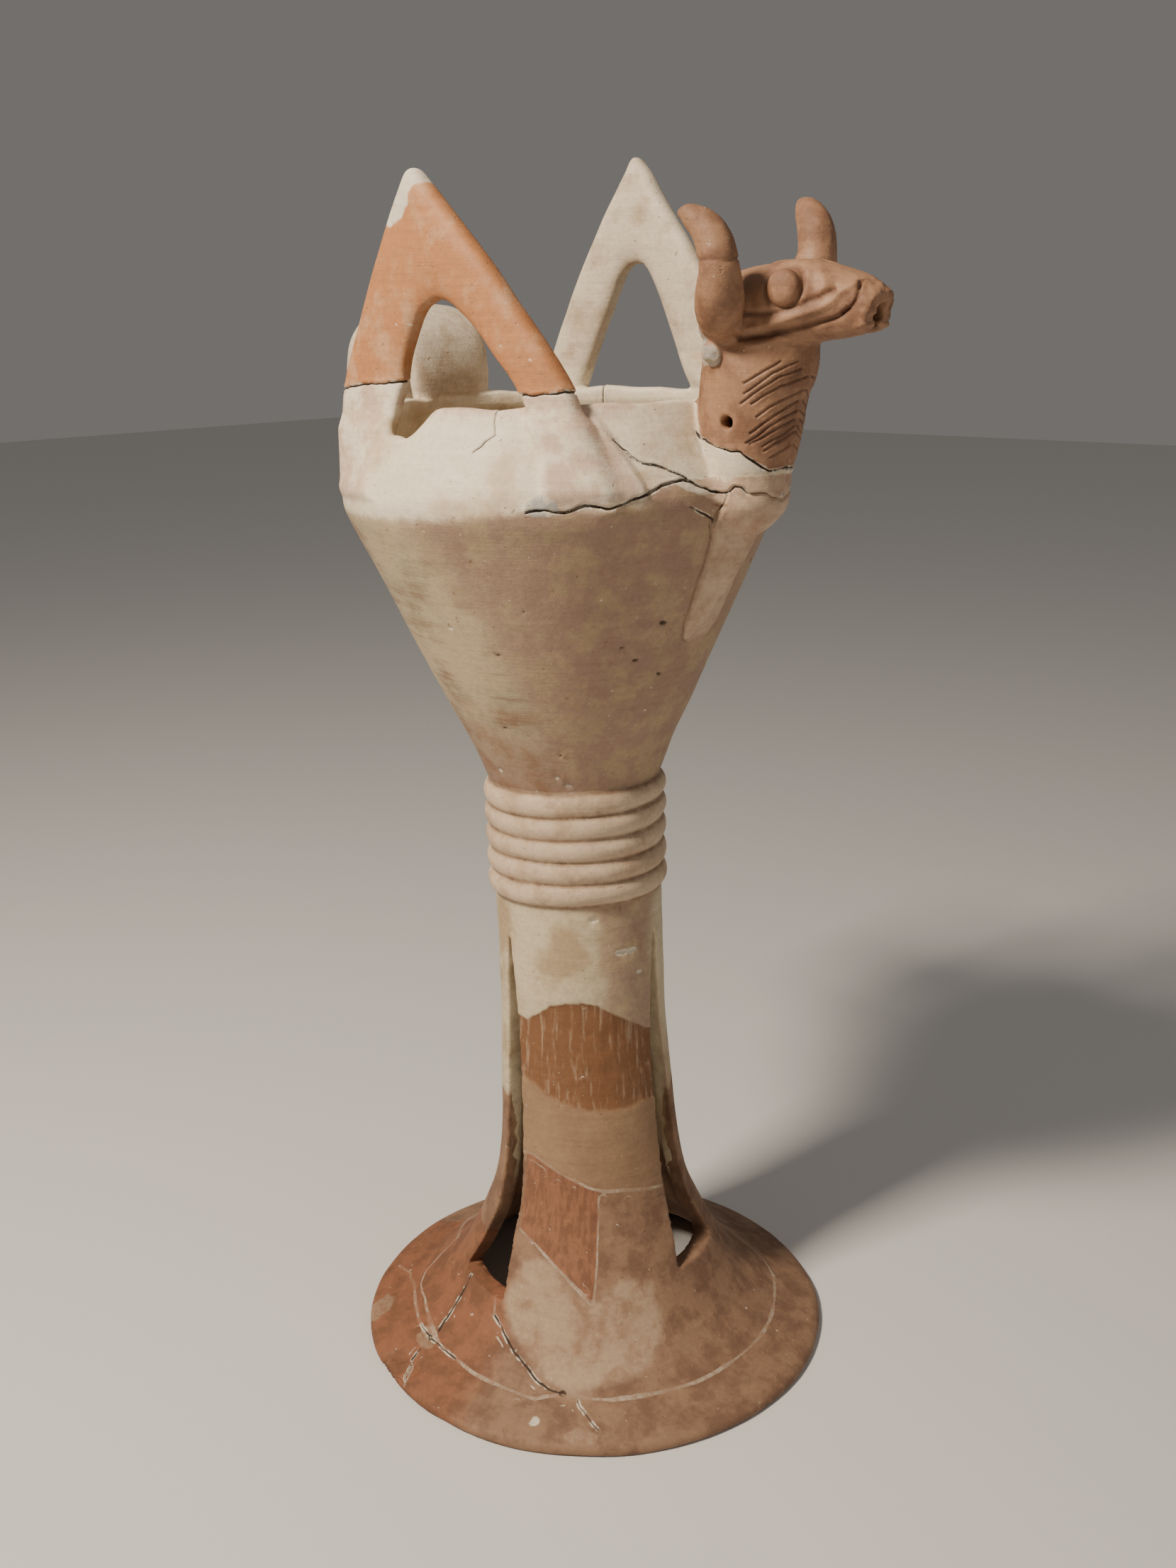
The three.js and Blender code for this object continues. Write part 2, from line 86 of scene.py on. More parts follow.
# Open cracks, as turn in degrees and height on the wall or as places on the neck and keel, with their half width and
# depth and how far off the wall they reach (below 0 through the wall)
CRACKS = [
    ([(-59.8, 453.6), (-57.1, 454.2), (-54.3, 453.8), (-51.1, 452.8), (-48.6, 453.8), (-46.1, 455.4), (-43.7, 454.8),
      (-40.4, 453.7), (-37.8, 455), (-35.2, 456.9), (-32, 458), (-29.5, 459.9), (-27, 461.8), (-24.1, 462.9),
      (-21.2, 463.3)], 0.45, 1.5, 16),
    ([(97.5, -37.8, 463.3), (98.4, -34.4, 462.3), (101, -30.1, 459.8), (102.5, -25.5, 457.9), (105.7, -20.6, 456.5),
      (109.4, -19.3, 457.3), (111.5, -18.9, 459.4), (113.7, -17.4, 458.8), (115.8, -14.9, 456.1), (120.2, -8.9, 456.2),
      (120.6, -5.1, 454.4), (121.1, -0.9, 453.4), (121.1, 1, 453.6)], 0.5, 1.4, 0),
    ([(-37.6, 481.3), (-35.6, 478.3), (-33.3, 474.1), (-30.8, 471.3), (-27.6, 470.2), (-24.9, 468.5), (-22.7, 466.4),
      (-20.1, 463.9), (-19.6, 463)], 0.35, 1.0, 8),
    ([(92.5, -19.7, 482.4), (95.6, -20.2, 480.2), (100.5, -22, 478.5), (104.5, -22.6, 476.6), (108.6, -22.5, 475.5),
      (112.1, -21.5, 474.5), (115.7, -20.2, 474.2), (117.5, -18.7, 472), (119.6, -16.4, 470), (122, -13.1, 467.5),
      (123.4, -9.6, 465.7), (124.9, -6.1, 465.9), (125.9, -1.2, 466.4), (125.9, 1, 466.4)], 0.42, 1.2, 0),
    ([(109.4, -19.3, 457.3), (107, -19.8, 453.5), (104.6, -20.2, 449.5)], 0.28, 0.7, 0),
    ([(-20, 451.9), (-16.4, 448.6), (-11.9, 445.1), (-11.7, 442.7)], 0.35, 0.9, 6),
    ([(-69, 501), (-69.3, 490.6), (-68.5, 485.1), (-71.1, 482.3), (-74.1, 477.9)], 0.28, 0.45, -12),
    ([(112, 502), (112.4, 490), (111, 482), (113, 474)], 0.5, 0.9, -12),
    ([(-94.8, 33.4), (-89.7, 30.8), (-87.6, 29.3), (-81.6, 25.4), (-76, 22.1), (-70.9, 18.9), (-65.8, 16.4),
      (-60.5, 15.6)], 0.45, 0.8, 6),
    ([(-57.1, 14.1), (-53.7, 10.9), (-51.5, 8.7)], 0.3, 0.4, 6),
    ([(-111.6, 12.2), (-110.3, 9.5), (-107.7, 6.9), (-105.3, 4.8)], 0.5, 0.9, 6),
    ([(-112.7, 17.8), (-114.5, 22.6), (-116.2, 29.2), (-118.3, 40)], 0.4, 0.7, 6),
    ([(-120.6, 14.3), (-114, 14.8), (-106.5, 15.2), (-99.1, 15.4)], 0.4, 0.5, 6),
]

# Pale seams of glue and plaster between the sherds, placed as the cracks are, with their half width and rise
SEAMS = [
    ([(-95.4, 74.2), (-83.7, 70.7), (-72.7, 63.8), (-65, 58.4), (-59.3, 53.2), (-53, 47.3)], 1.05, -0.3),
    ([(-47.3, 97.8), (-48.5, 84), (-49.8, 70), (-51, 58), (-52.4, 47.3)], 0.75, -0.2),
    ([(-122, 109.5), (-106, 114), (-90.3, 116.3), (-78.1, 112.1), (-68.9, 108.2), (-60.4, 105.3), (-52.2, 101.9),
      (-44.1, 100.1), (-30.6, 99), (-9.6, 95.1), (4, 93)], 0.9, 0.15),
    ([(-160.8, 28), (-152, 21.5), (-146.7, 18), (-139.7, 16.9), (-130.2, 18.3), (-117, 17.2), (-106.5, 15.2),
      (-99.1, 15.4), (-90.9, 14.5), (-80, 14), (-69, 13.6), (-60.5, 15.6), (-48, 14.2), (-36, 14.6), (-20, 14.3),
      (-5, 14.6), (12, 14.2), (30, 14.6), (42, 14.3), (49.6, 15.9), (55, 21), (60, 27)], 1.2, 0.25),
    ([(60, 27), (64, 45), (61, 70)], 0.75, 0.1),
    ([(-112.8, 14.3), (-120.6, 14.3), (-129.2, 14.8), (-138.5, 14.7), (-149.4, 12.7), (-156, 8)], 1.2, 0.2),
    ([(-94.8, 33.4), (-98, 40), (-100, 50)], 0.9, 0.1),
    ([(130, 14.2), (150, 14.5), (175, 14.1), (199.2, 28)], 1.05, 0.2),
    ([(95, 5), (98, 12), (92, 25), (104, 48), (99, 70)], 0.9, -0.2),
    ([(-4.9, -84, 580.6), (-3.6, -84.3, 573), (-2.1, -84.4, 565.1), (-1.8, -84.1, 557.3), (-2.5, -83.2, 549.1),
      (-3.5, -82.4, 545.7)], 0.3, -0.2),
]

# Edges of the finishes, as turn and height: the pale slip, and the fills on the stem between two windows
SLIP_EDGE = [(-180, 449), (-125, 450), (-95, 449.5), (-75, 450.5), (-62, 452.5), (-54, 453.8), (-48, 454), (-40, 454),
             (-35, 457), (-29.5, 460), (-24, 463), (-20, 463), (-15.8, 458.7), (-9.5, 458), (-3, 455), (8, 454),
             (30, 451), (180, 449)]
STEM_BACK = [(9.1, 136), (60, 147), (120, 132), (180, 140)]
PATCH_TOP = [(-180, 140), (-112, 140), (-111.9, 190.9), (-100.9, 190.4), (-94.1, 189.6), (-82.9, 194.5),
             (-74.2, 199.3), (-62.5, 201.6), (-51.4, 201.6), (-40.4, 199.5), (-31, 193.9), (-18.7, 188.8), (-4, 181.5),
             (9, 178), *STEM_BACK]
PATCH_BOTTOM = [(-180, 140), (-112, 140), (-111.9, 154), (-96.9, 157.5), (-87.3, 154.4), (-78.9, 150.7),
                (-69.3, 147.4), (-58.5, 145.1), (-49.8, 143.5), (-37.3, 142.6), (-23.9, 141.8), (-12.7, 143.7),
                (9, 141), *STEM_BACK]
PANEL_BOTTOM = [(-180, 140), (-112, 140), (-111.9, 110), (-90.3, 116.3), (-78.1, 112.1), (-68.9, 108.2),
                (-60.4, 105.3), (-52.2, 101.9), (-44.1, 100.1), (-30.6, 99), (-9.6, 95.1), (9, 93), *STEM_BACK]
ORANGE_SHERD = [(-95.4, 74.2), (-83.7, 70.7), (-72.7, 63.8), (-65, 58.4), (-59.3, 53.2), (-53, 47.3), (-51, 58),
                (-49.8, 70), (-48.5, 84), (-47.3, 99), (-60.4, 105.3), (-68.9, 108.2), (-78.1, 112.1), (-95, 116)]
CREAM_PATCH = [(-89.7, 60.2), (-78, 66), (-66.3, 57.5), (-53, 46.1), (-45, 52), (-39.4, 57.4), (-25, 52), (-24.6, 34.8),
               (-28.4, 27.4), (-36.6, 21), (-47.8, 18.8), (-59.8, 16.3), (-67.4, 19.5), (-75.7, 24.1), (-84.7, 31.4),
               (-92.8, 40.4)]
GREY_FILL = [(-60.3, 453.6), (-59.5, 457.6), (-56, 461), (-53, 458), (-51.8, 454), (-54, 451.5), (-58, 451.5)]
WHITE_FILLS = [
    [(-24.8, 463.2), (-22.3, 466.2), (-19.6, 465), (-17.6, 462), (-15, 459.4), (-12.6, 458.4), (-12.4, 456.6),
     (-17.3, 456.4), (-21.4, 459.8)],
    [(-142, 8.5), (-138, 10.4), (-134, 9.4), (-131.6, 6.6), (-133, 3.4), (-139, 3.8)],
    [(-118.5, 15.4), (-114.5, 17.8), (-110.4, 16.2), (-108.6, 13.4), (-112, 11.8), (-117, 12.6)],
    [(-60, 7.6), (-56, 9.4), (-51, 7.8), (-52, 5.8), (-57, 5.4)],
    [(-13.5, 480), (-12.2, 474.4), (-8.6, 469.4), (-5.6, 467.6), (-6.2, 465.4), (-10.4, 469), (-14.6, 474.6)],
]

# White chips, and pits painted dark as shade, as turn, height, radius and depth
CHIPS = [(-41.7, 245.4, 2, 0.9), (-22.5, 226.6, 2.7, 1.1), (-16.5, 226, 2.2, 0.8), (-12.7, 226.3, 1.9, 0.9),
         (-82.2, 211.1, 0.9, 0.5), (-101.3, 321.2, 1.7, 0.7), (-55.4, 315.9, 1.5, 0.8), (-60.7, 320.3, 1.3, 0.6),
         (-9, 213, 1.7, 0.8), (-67.4, 9.3, 2, 0.4), (-108, 472, 1.1, 0.5), (-74, 468, 1, 0.4), (70, 226, 2, 0.9),
         (140, 330, 1.9, 0.8), (168, 246, 1.5, 0.7), (28, 392, 1.4, 0.6), (-92, 398, 1.1, 0.5)]
PITS = [(-61.4, 15.8, 1.5, 1.6), (-19.5, 398, 1.7, 1.2), (-33, 388, 1.1, 0.9), (-27, 381, 1.4, 0.9),
        (-15, 372, 1.5, 1.0), (-76, 386, 1, 0.8), (-113, 14.6, 1.6, 1.0), (-58, 333, 0.8, 0.6), (-84, 347, 0.9, 0.6),
        (-64, 408, 0.7, 0.5), (-48, 424, 0.8, 0.5), (22, 420, 1.4, 0.9), (60, 360, 1.2, 0.8), (118, 405, 1.5, 0.9),
        (175, 372, 1.2, 0.8)]

# Plaster on the near handle's point, as distance forward and height
POINT_FILL = [(-60, 625), (3, 625), (-1, 600), (-2, 591), (-8, 590), (-11.5, 586.5), (-12, 579.5), (-16, 578),
              (-19, 575), (-25, 574), (-34, 576)]

# Modelled lines along each side of the head, as distance forward and height, with their width and rise
HEAD_LINES = [
    ([(118.9, 525), (127.1, 526.4), (135.2, 527.9), (144.3, 530.3), (151.6, 532.1), (157.2, 534.6), (160.5, 538),
      (165.9, 541.1)], 1.7, 1.3),
    ([(116.9, 521.4), (125.2, 521.7), (131.6, 522.8), (139.7, 524.2), (146.6, 525.5), (152.6, 526.8), (157, 527.6),
      (160.7, 529.2), (163.8, 531.6)], 1.0, -1.7),
    ([(120.5, 518.2), (128.8, 518.9), (134.5, 519.8), (143.6, 520.8), (153.3, 522.2), (161.5, 523), (169, 525.8)],
     1.5, 1.0),
    ([(120.8, 531.3), (128.4, 531), (135.6, 531.6), (141.6, 532.9), (147.2, 535.1), (152.7, 537.3), (158.1, 539.4)],
     1.3, -0.9),
    ([(125.7, 551), (133, 552.4), (141.3, 551.2), (147.2, 548.6), (151.8, 544.6), (153.6, 540.9), (152.2, 536.9)],
     2.0, 1.0),
    ([(160.6, 529.5), (164.5, 532), (167.4, 536.5), (167, 542.5)], 0.6, -1.1),
]
# The eyes' middle seen from the side, as distance forward and height, and the radius of the ring cut round them
EYE = (137.0, 541.1)
EYE_RING = 8.1
# The rough plaster behind the near cheek, as balls with their radius
EAR_PLASTER = [((100, -24, 523), 6.5), ((105, -27, 514.5), 5), ((98, -23, 514), 4.5)]
# A horn's middle from the neck's and head's middles, forward, aside and up, and its radius; the far horn is higher
FAR_HORN_LIFT = 7.0
HORN = [(-8.4, 14, -6, 10.3), (-1.6, 29, 0.5, 11.2), (2.6, 36, 8, 10.4), (5, 39.6, 15.8, 8.7), (4.7, 40.2, 21.4, 8.4),
        (3.7, 40.6, 26.1, 8), (1.7, 41.6, 30.6, 7.3), (-1, 43.1, 34.2, 6.3), (-4.1, 45.2, 36.8, 5),
        (-6.8, 46.8, 38.1, 3.4), (-8.9, 48.3, 38.3, 1.2)]
# Lines cut into one side of the throat, from the back to its front edge
THROAT = [
    [(119.2, -23, 503.3), (125, -21.7, 506), (129.2, -18.5, 509.1), (133, -15.5, 511.8)],
    [(119.1, -22.3, 499), (124.4, -20.8, 502.4), (130.2, -17.4, 506.9), (134.4, -12.8, 509.9), (136.4, -8.5, 511.5)],
    [(117.3, -22.3, 494.6), (122, -21.2, 498.1), (126.7, -18.8, 501.6), (132.3, -15.2, 505.3), (137.4, -6.2, 508.7)],
    [(121.6, -20.7, 494.4), (126.7, -17.5, 498.2), (131.5, -13.9, 501.3), (136.2, -7.3, 503.9), (137.7, -1.2, 505.2)],
    [(122.8, -18.4, 489), (127.3, -15.6, 492.6), (130.2, -11.8, 495), (134.4, -4.1, 498.3), (135.6, -0.6, 499.8)],
    [(119.8, -19.3, 482.1), (124.2, -16.5, 485.7), (127.6, -13.4, 488.8), (131.6, -8.3, 492.2), (133.3, -1.6, 495)],
    [(118.1, -19.7, 478), (122, -17.2, 480.9), (126.5, -13.7, 485.1), (130.2, -8.8, 488.2), (132.5, -1, 490.8)],
    [(119.3, -18.7, 477.6), (123.7, -15.7, 480.1), (128.8, -9.6, 484.5), (131.4, -2.1, 487.1)],
    [(123.3, -15.1, 476.3), (126.4, -11.4, 479.1), (129.7, -5.2, 482.4), (130.8, -0.8, 484.4)],
    [(123.5, -14, 474.3), (127.1, -9.7, 477.8), (129.6, -3.6, 480.8), (130, -0.6, 482)],
    [(124.3, -11.1, 471.4), (127.2, -6.9, 473.9), (129, -1.1, 476.5)],
]
# The keel below the bull: its middle, then half its depth and half its width
KEEL = [
    (102, -0.5, 462, 21, 24), (103.5, -1, 453, 17, 22.5), (100.6, -1.5, 444, 13, 22), (97.4, -2, 437, 11.8, 21.5),
    (94.1, -2.6, 430, 11.2, 20.5), (91.2, -3.1, 423.7, 10.8, 19.5), (87.3, -3.7, 415, 9.2, 18),
    (84.7, -4.2, 408.5, 7.2, 16), (82.2, -4.7, 401.5, 4.6, 13.5), (79.2, -5, 394.5, 2.2, 9), (76, -5, 388, 0.6, 4),
]
# One side of the keel's flat face on the bowl, as turn and height, and its whole outline
KEEL_SIDE = [(-24, 464), (-17, 457), (-10.7, 451.3), (-12.1, 443.2), (-10.9, 436.9), (-10.7, 429.6), (-10.3, 422.9),
             (-10.6, 416.4), (-10, 406.1), (-9.5, 397.5), (-7.8, 388.5)]
KEEL_FACE = KEEL_SIDE + [(0, 381)] + [(-turn, height) for turn, height in reversed(KEEL_SIDE)]
# The spread feet of the near handle, as turn and height
LEG_FEET = [
    [(-61.5, 498), (-60.5, 489.8), (-56, 476.3), (-56, 460), (-55, 454), (-31, 456), (-31.9, 463.5), (-35, 473.7),
     (-40.5, 489.8), (-43, 498)],
    [(-112.8, 496), (-112.8, 481), (-109.4, 466.6), (-104, 457), (-150, 455), (-146, 470), (-141, 496)],
]


def length(name, description, default):
    """A length property in metres, given in millimetres."""
    return FloatProperty(name=name, description=description, default=default * MM, min=0.0, unit="LENGTH")


def shade(name, description, default):
    """A colour property."""
    return FloatVectorProperty(
        name=name, description=description, default=default, size=3, min=0.0, max=1.0, subtype="COLOR"
    )


class FruitBowlSizes(bpy.types.PropertyGroup):
    foot_radius: length("Foot radius", "Radius of the disc foot", 125)
    foot_line_radius: length("Foot line radius", "Radius of the raised line on the foot", 101)
    stem_radius: length("Stem radius", "Outer radius of the stem", 43)
    bowl_radius: length("Bowl radius", "Radius of the bowl at its turn", 106.5)
    mouth_radius: length("Mouth radius", "Outer radius of the mouth", 88)
    wall: length("Wall", "Thickness of the clay wall", 9)
    window_width: length("Window width", "Width of a foot window at its bottom", 40)
    handle_thickness: length("Handle thickness", "Thickness of the pointed handles", 13)
    strap_width: length("Strap width", "Width of the strap handle", 50)
    horn_spread: length("Horn spread", "Distance between the horns", 85)
    grain: length("Grain", "Size of the cells that the joined clay is cut into", 1.05)


class FruitBowlColours(bpy.types.PropertyGroup):
    clay: shade("Clay", "Light tan clay of the bowl", (0.57, 0.435, 0.275))
    clay_dark: shade("Dark clay", "Brown-grey stains on the bowl", (0.29, 0.18, 0.12))
    clay_green: shade("Green-grey clay", "Greenish grey bloom on the bowl", (0.49, 0.415, 0.26))
    slip: shade("Slip", "Pale slip on the shoulder", (0.84, 0.74, 0.56))
    slip_dark: shade("Worn slip", "Where the pale slip is thin", (0.64, 0.49, 0.32))
    ribs: shade("Ribs", "Light clay of the ring ribs", (0.64, 0.48, 0.33))
    ribs_dark: shade("Dark ribs", "Darker parts of the ring ribs", (0.5, 0.35, 0.23))
    stem: shade("Stem", "Cream upper part of the stem", (0.66, 0.55, 0.37))
    stem_dark: shade("Dark stem", "Grey-brown parts of the stem", (0.47, 0.34, 0.2))
    # Lilac-brown painted shade on the stem's and bowl's side turned from the key lamp
    painted_side_shade: shade("Lilac clay", "Lilac-brown clay on the stem", (0.37, 0.23, 0.165))
    patch: shade("Weathered patch", "Brown patch on the stem", (0.22, 0.098, 0.04))
    patch_pale: shade("Patch streaks", "Pale streaks on the brown patch", (0.37, 0.24, 0.15))
    panel: shade("Tan plaster", "Smooth tan plaster below the patch", (0.36, 0.225, 0.125))
    panel_dark: shade("Dark tan plaster", "Darker parts of the tan plaster", (0.3, 0.18, 0.1))
    foot: shade("Foot", "Brown clay of the foot", (0.31, 0.18, 0.105))
    foot_dark: shade("Dark foot", "Darker parts of the foot", (0.205, 0.11, 0.066))
    red: shade("Red clay", "Redder clay at one side of the foot", (0.29, 0.115, 0.055))
    red_dark: shade("Dark red clay", "Darker red clay", (0.2, 0.085, 0.042))
    sherd: shade("Orange sherd", "Orange-brown sherd above the foot", (0.31, 0.135, 0.07))
    sherd_dark: shade("Dark sherd", "Brown parts of that sherd", (0.22, 0.095, 0.05))
    cream: shade("Cream sherd", "Pale sherd on the front of the foot", (0.45, 0.31, 0.2))
    stub: shade("Handle stub", "Pinkish cream clay of the handle's feet", (0.66, 0.48, 0.35))
    keel: shade("Keel", "Pinkish tan clay of the keel below the bull", (0.60, 0.43, 0.30))
    keel_dark: shade("Keel, dark", "Browner patches on the keel", (0.46, 0.30, 0.20))
    orange: shade("Orange clay", "Orange clay of the near handle", (0.5, 0.21, 0.082))
    orange_pale: shade("Pale orange clay", "Pinkish clay of the near handle", (0.55, 0.3, 0.16))
    plaster: shade("Grey plaster", "Grey-cream plaster of the restored handles", (0.7, 0.6, 0.46))
    plaster_dark: shade("Brown plaster", "Brownish stains on that plaster", (0.52, 0.4, 0.27))
    bull: shade("Bull clay", "Pinkish tan clay of the bull", (0.38, 0.205, 0.115))
    bull_dark: shade("Dark bull clay", "Brown parts of the bull", (0.25, 0.125, 0.07))
    white: shade("White plaster", "White plaster of fills and seams", (0.76, 0.67, 0.53))
    grey: shade("Grey fill", "Grey plaster in the long crack", (0.44, 0.41, 0.37))
    # Painted shade: this near-black stands for the shade in the cracks' depth and in the pits
    crack: shade("Crack", "Dark depth of the cracks", (0.045, 0.028, 0.018))


def sizes():
    """The sizes in millimetres."""
    group = bpy.context.scene.fruit_bowl_sizes
    return {name: getattr(group, name) / MM for name in FruitBowlSizes.__annotations__}


# ---------------------------------------------------------------- points and curves


def spline(points, shares, chord=False):
    """Points of a smooth curve through the given ones, at shares of its spans."""
    p = np.asarray(points, float)
    last = len(p) - 1
    place = np.clip(np.asarray(shares, float), 0, 1) * last
    span = np.minimum(place.astype(int), last - 1)
    t = (place - span)[:, None]
    first, end = (2 * p[0] - p[1], 2 * p[-1] - p[-2]) if chord else (p[0], p[-1])
    q = np.vstack([first, p, end])
    a, b, c, d = q[span], q[span + 1], q[span + 2], q[span + 3]
    if chord:
        gaps = [np.sqrt(np.linalg.norm(v - u, axis=1, keepdims=True)) for u, v in ((a, b), (b, c), (c, d))]
        g0, g1, g2 = [np.maximum(gap, 1e-4) for gap in gaps]
        start = ((b - a) / g0 - (c - a) / (g0 + g1) + (c - b) / g1) * g1
        stop = ((c - b) / g1 - (d - b) / (g1 + g2) + (d - c) / g2) * g1
    else:
        start, stop = 0.5 * (c - a), 0.5 * (d - b)
    t2, t3 = t * t, t * t * t
    return (2 * t3 - 3 * t2 + 1) * b + (t3 - 2 * t2 + t) * start + (3 * t2 - 2 * t3) * c + (t3 - t2) * stop


def smoothstep(low, high, value):
    """Rises softly from 0 at low to 1 at high."""
    t = np.clip((value - low) / (high - low), 0, 1)
    return t * t * (3 - 2 * t)


def band(value, low, full, fading, gone):
    """Rises softly from 0 at low to 1 at full, and falls again from fading to gone."""
    return smoothstep(low, full, value) * (1 - smoothstep(fading, gone, value))


def ridge(distance, width):
    """A soft peak of 1 where a distance is 0."""
    return np.exp(-((distance / width) ** 2))


def signed_power(value, power):
    """A value raised to a power, with its sign kept."""
    return np.sign(value) * np.abs(value) ** power


def unit(vectors):
    """Vectors of length one."""
    return vectors / np.maximum(np.linalg.norm(vectors, axis=-1, keepdims=True), 1e-9)


def inset(line, wall):
    """Moves a line of radius and height inwards by a wall, square to the line."""
    line = np.asarray(line, float)
    run = np.vstack([line[1:2], line[2:], line[-1:]]) - np.vstack([line[:1], line[:-2], line[-2:-1]])
    run = unit(run)
    return line + wall * np.column_stack([-run[:, 1], run[:, 0]])


# ---------------------------------------------------------------- meshes


def clear_selection():
    """Leaves nothing selected, in object mode."""
    if bpy.context.object and bpy.context.object.mode != "OBJECT":
        bpy.ops.object.mode_set(mode="OBJECT")
    bpy.ops.object.select_all(action="DESELECT")


def only(obj):
    """Makes one object the selected and active one."""
    clear_selection()
    obj.select_set(True)
    bpy.context.view_layer.objects.active = obj


def named(name):
    """Names the primitive that was just added."""
    obj = bpy.context.object
    obj.name = name
    obj.data.name = name
    return obj


def points_of(obj):
    """An object's points in millimetres."""
    flat = np.empty(3 * len(obj.data.vertices), np.float32)
    obj.data.vertices.foreach_get("co", flat)
    return flat.reshape(-1, 3).astype(float) / MM


def move_to(obj, points):
    """Puts an object's points at new places, in millimetres."""
    obj.data.vertices.foreach_set("co", (np.asarray(points) * MM).astype(np.float32).ravel())
    obj.data.update()


def outward(obj):
    """Merges doubles and points the faces outwards."""
    only(obj)
    bpy.ops.object.mode_set(mode="EDIT")
    bpy.ops.mesh.select_all(action="SELECT")
    bpy.ops.mesh.remove_doubles(threshold=2e-6)
    bpy.ops.mesh.normals_make_consistent(inside=False)
    bpy.ops.object.mode_set(mode="OBJECT")
    return obj


def ball(name, segments, rings):
    """A sphere of 1 mm radius."""
    clear_selection()
    bpy.ops.mesh.primitive_uv_sphere_add(segments=segments, ring_count=rings, radius=MM)
    return named(name)


def ball_shares(p, rings):
    """For a ball's points: 0 to 1 from its first ring to its last, and how far out they are, 0 at the poles or 1."""
    polar = np.arccos(np.clip(p[:, 2], -1, 1)) / math.pi * rings
    return np.clip((polar - 1) / (rings - 2), 0, 1), np.where(np.hypot(p[:, 0], p[:, 1]) < 1e-3, 0.0, 1.0)


def turned(name, line, steps=200):
    """A solid turned about the upright axis from a line of radius and height."""
    clear_selection()
    bpy.ops.mesh.primitive_plane_add(size=0.01, location=(line[0][0] * MM, 0, line[0][1] * MM))
    obj = named(name)
    bpy.ops.object.transform_apply(location=True, rotation=False, scale=False)
    bpy.ops.object.mode_set(mode="EDIT")
    bpy.ops.mesh.select_all(action="SELECT")
    bpy.ops.mesh.merge(type="CENTER")
    for before, after in zip(line, line[1:]):
        step = ((after[0] - before[0]) * MM, 0, (after[1] - before[1]) * MM)
        bpy.ops.mesh.extrude_vertices_move(TRANSFORM_OT_translate={"value": step})
    bpy.ops.mesh.select_all(action="SELECT")
    bpy.ops.mesh.spin(steps=steps, angle=2 * math.pi, center=(0, 0, 0), axis=(0, 0, 1))
    bpy.ops.object.mode_set(mode="OBJECT")
    return outward(obj)


def tube(name, stations, around=48, rows=72, side=(0.0, 1.0, 0.0), square=2.0):
    """A closed tube with an oval section along stations of x, y, z, half depth and half width."""
    obj = ball(name, around, rows)
    p = points_of(obj)
    stations = np.array(stations, float)
    share, reach = ball_shares(p, rows)
    centre = spline(stations[:, :3], share, True)
    ahead = spline(stations[:, :3], share + 1e-3, True) - spline(stations[:, :3], share - 1e-3, True)
    half = spline(stations[:, 3:], share)
    forward = unit(ahead)
    depth = unit(np.cross(np.array(side), forward))
    width = np.cross(forward, depth)
    angle = np.arctan2(p[:, 0], p[:, 1])
    across = reach * signed_power(np.sin(angle), 2 / square)
    up = reach * signed_power(np.cos(angle), 2 / square)
    move_to(obj, centre + width * (across * half[:, 1])[:, None] + depth * (up * half[:, 0])[:, None])
    return outward(obj)


def apply_modifier(obj, kind, **settings):
    """Adds a modifier, sets it and applies it."""
    only(obj)
    modifier = obj.modifiers.new(kind.lower(), kind)
    for key, value in settings.items():
        setattr(modifier, key, value)
    bpy.ops.object.modifier_apply(modifier=modifier.name)


def boolean(obj, other, operation):
    """Joins or cuts an object with another, which is used up."""
    apply_modifier(obj, "BOOLEAN", operation=operation, solver="MANIFOLD", object=other)
    bpy.data.objects.remove(other)


def joined(name, objects):
    """Several meshes in one object."""
    only(objects[0])
    for obj in objects:
        obj.select_set(True)
    bpy.ops.object.join()
    return named(name)


# ---------------------------------------------------------------- the vessel's forms


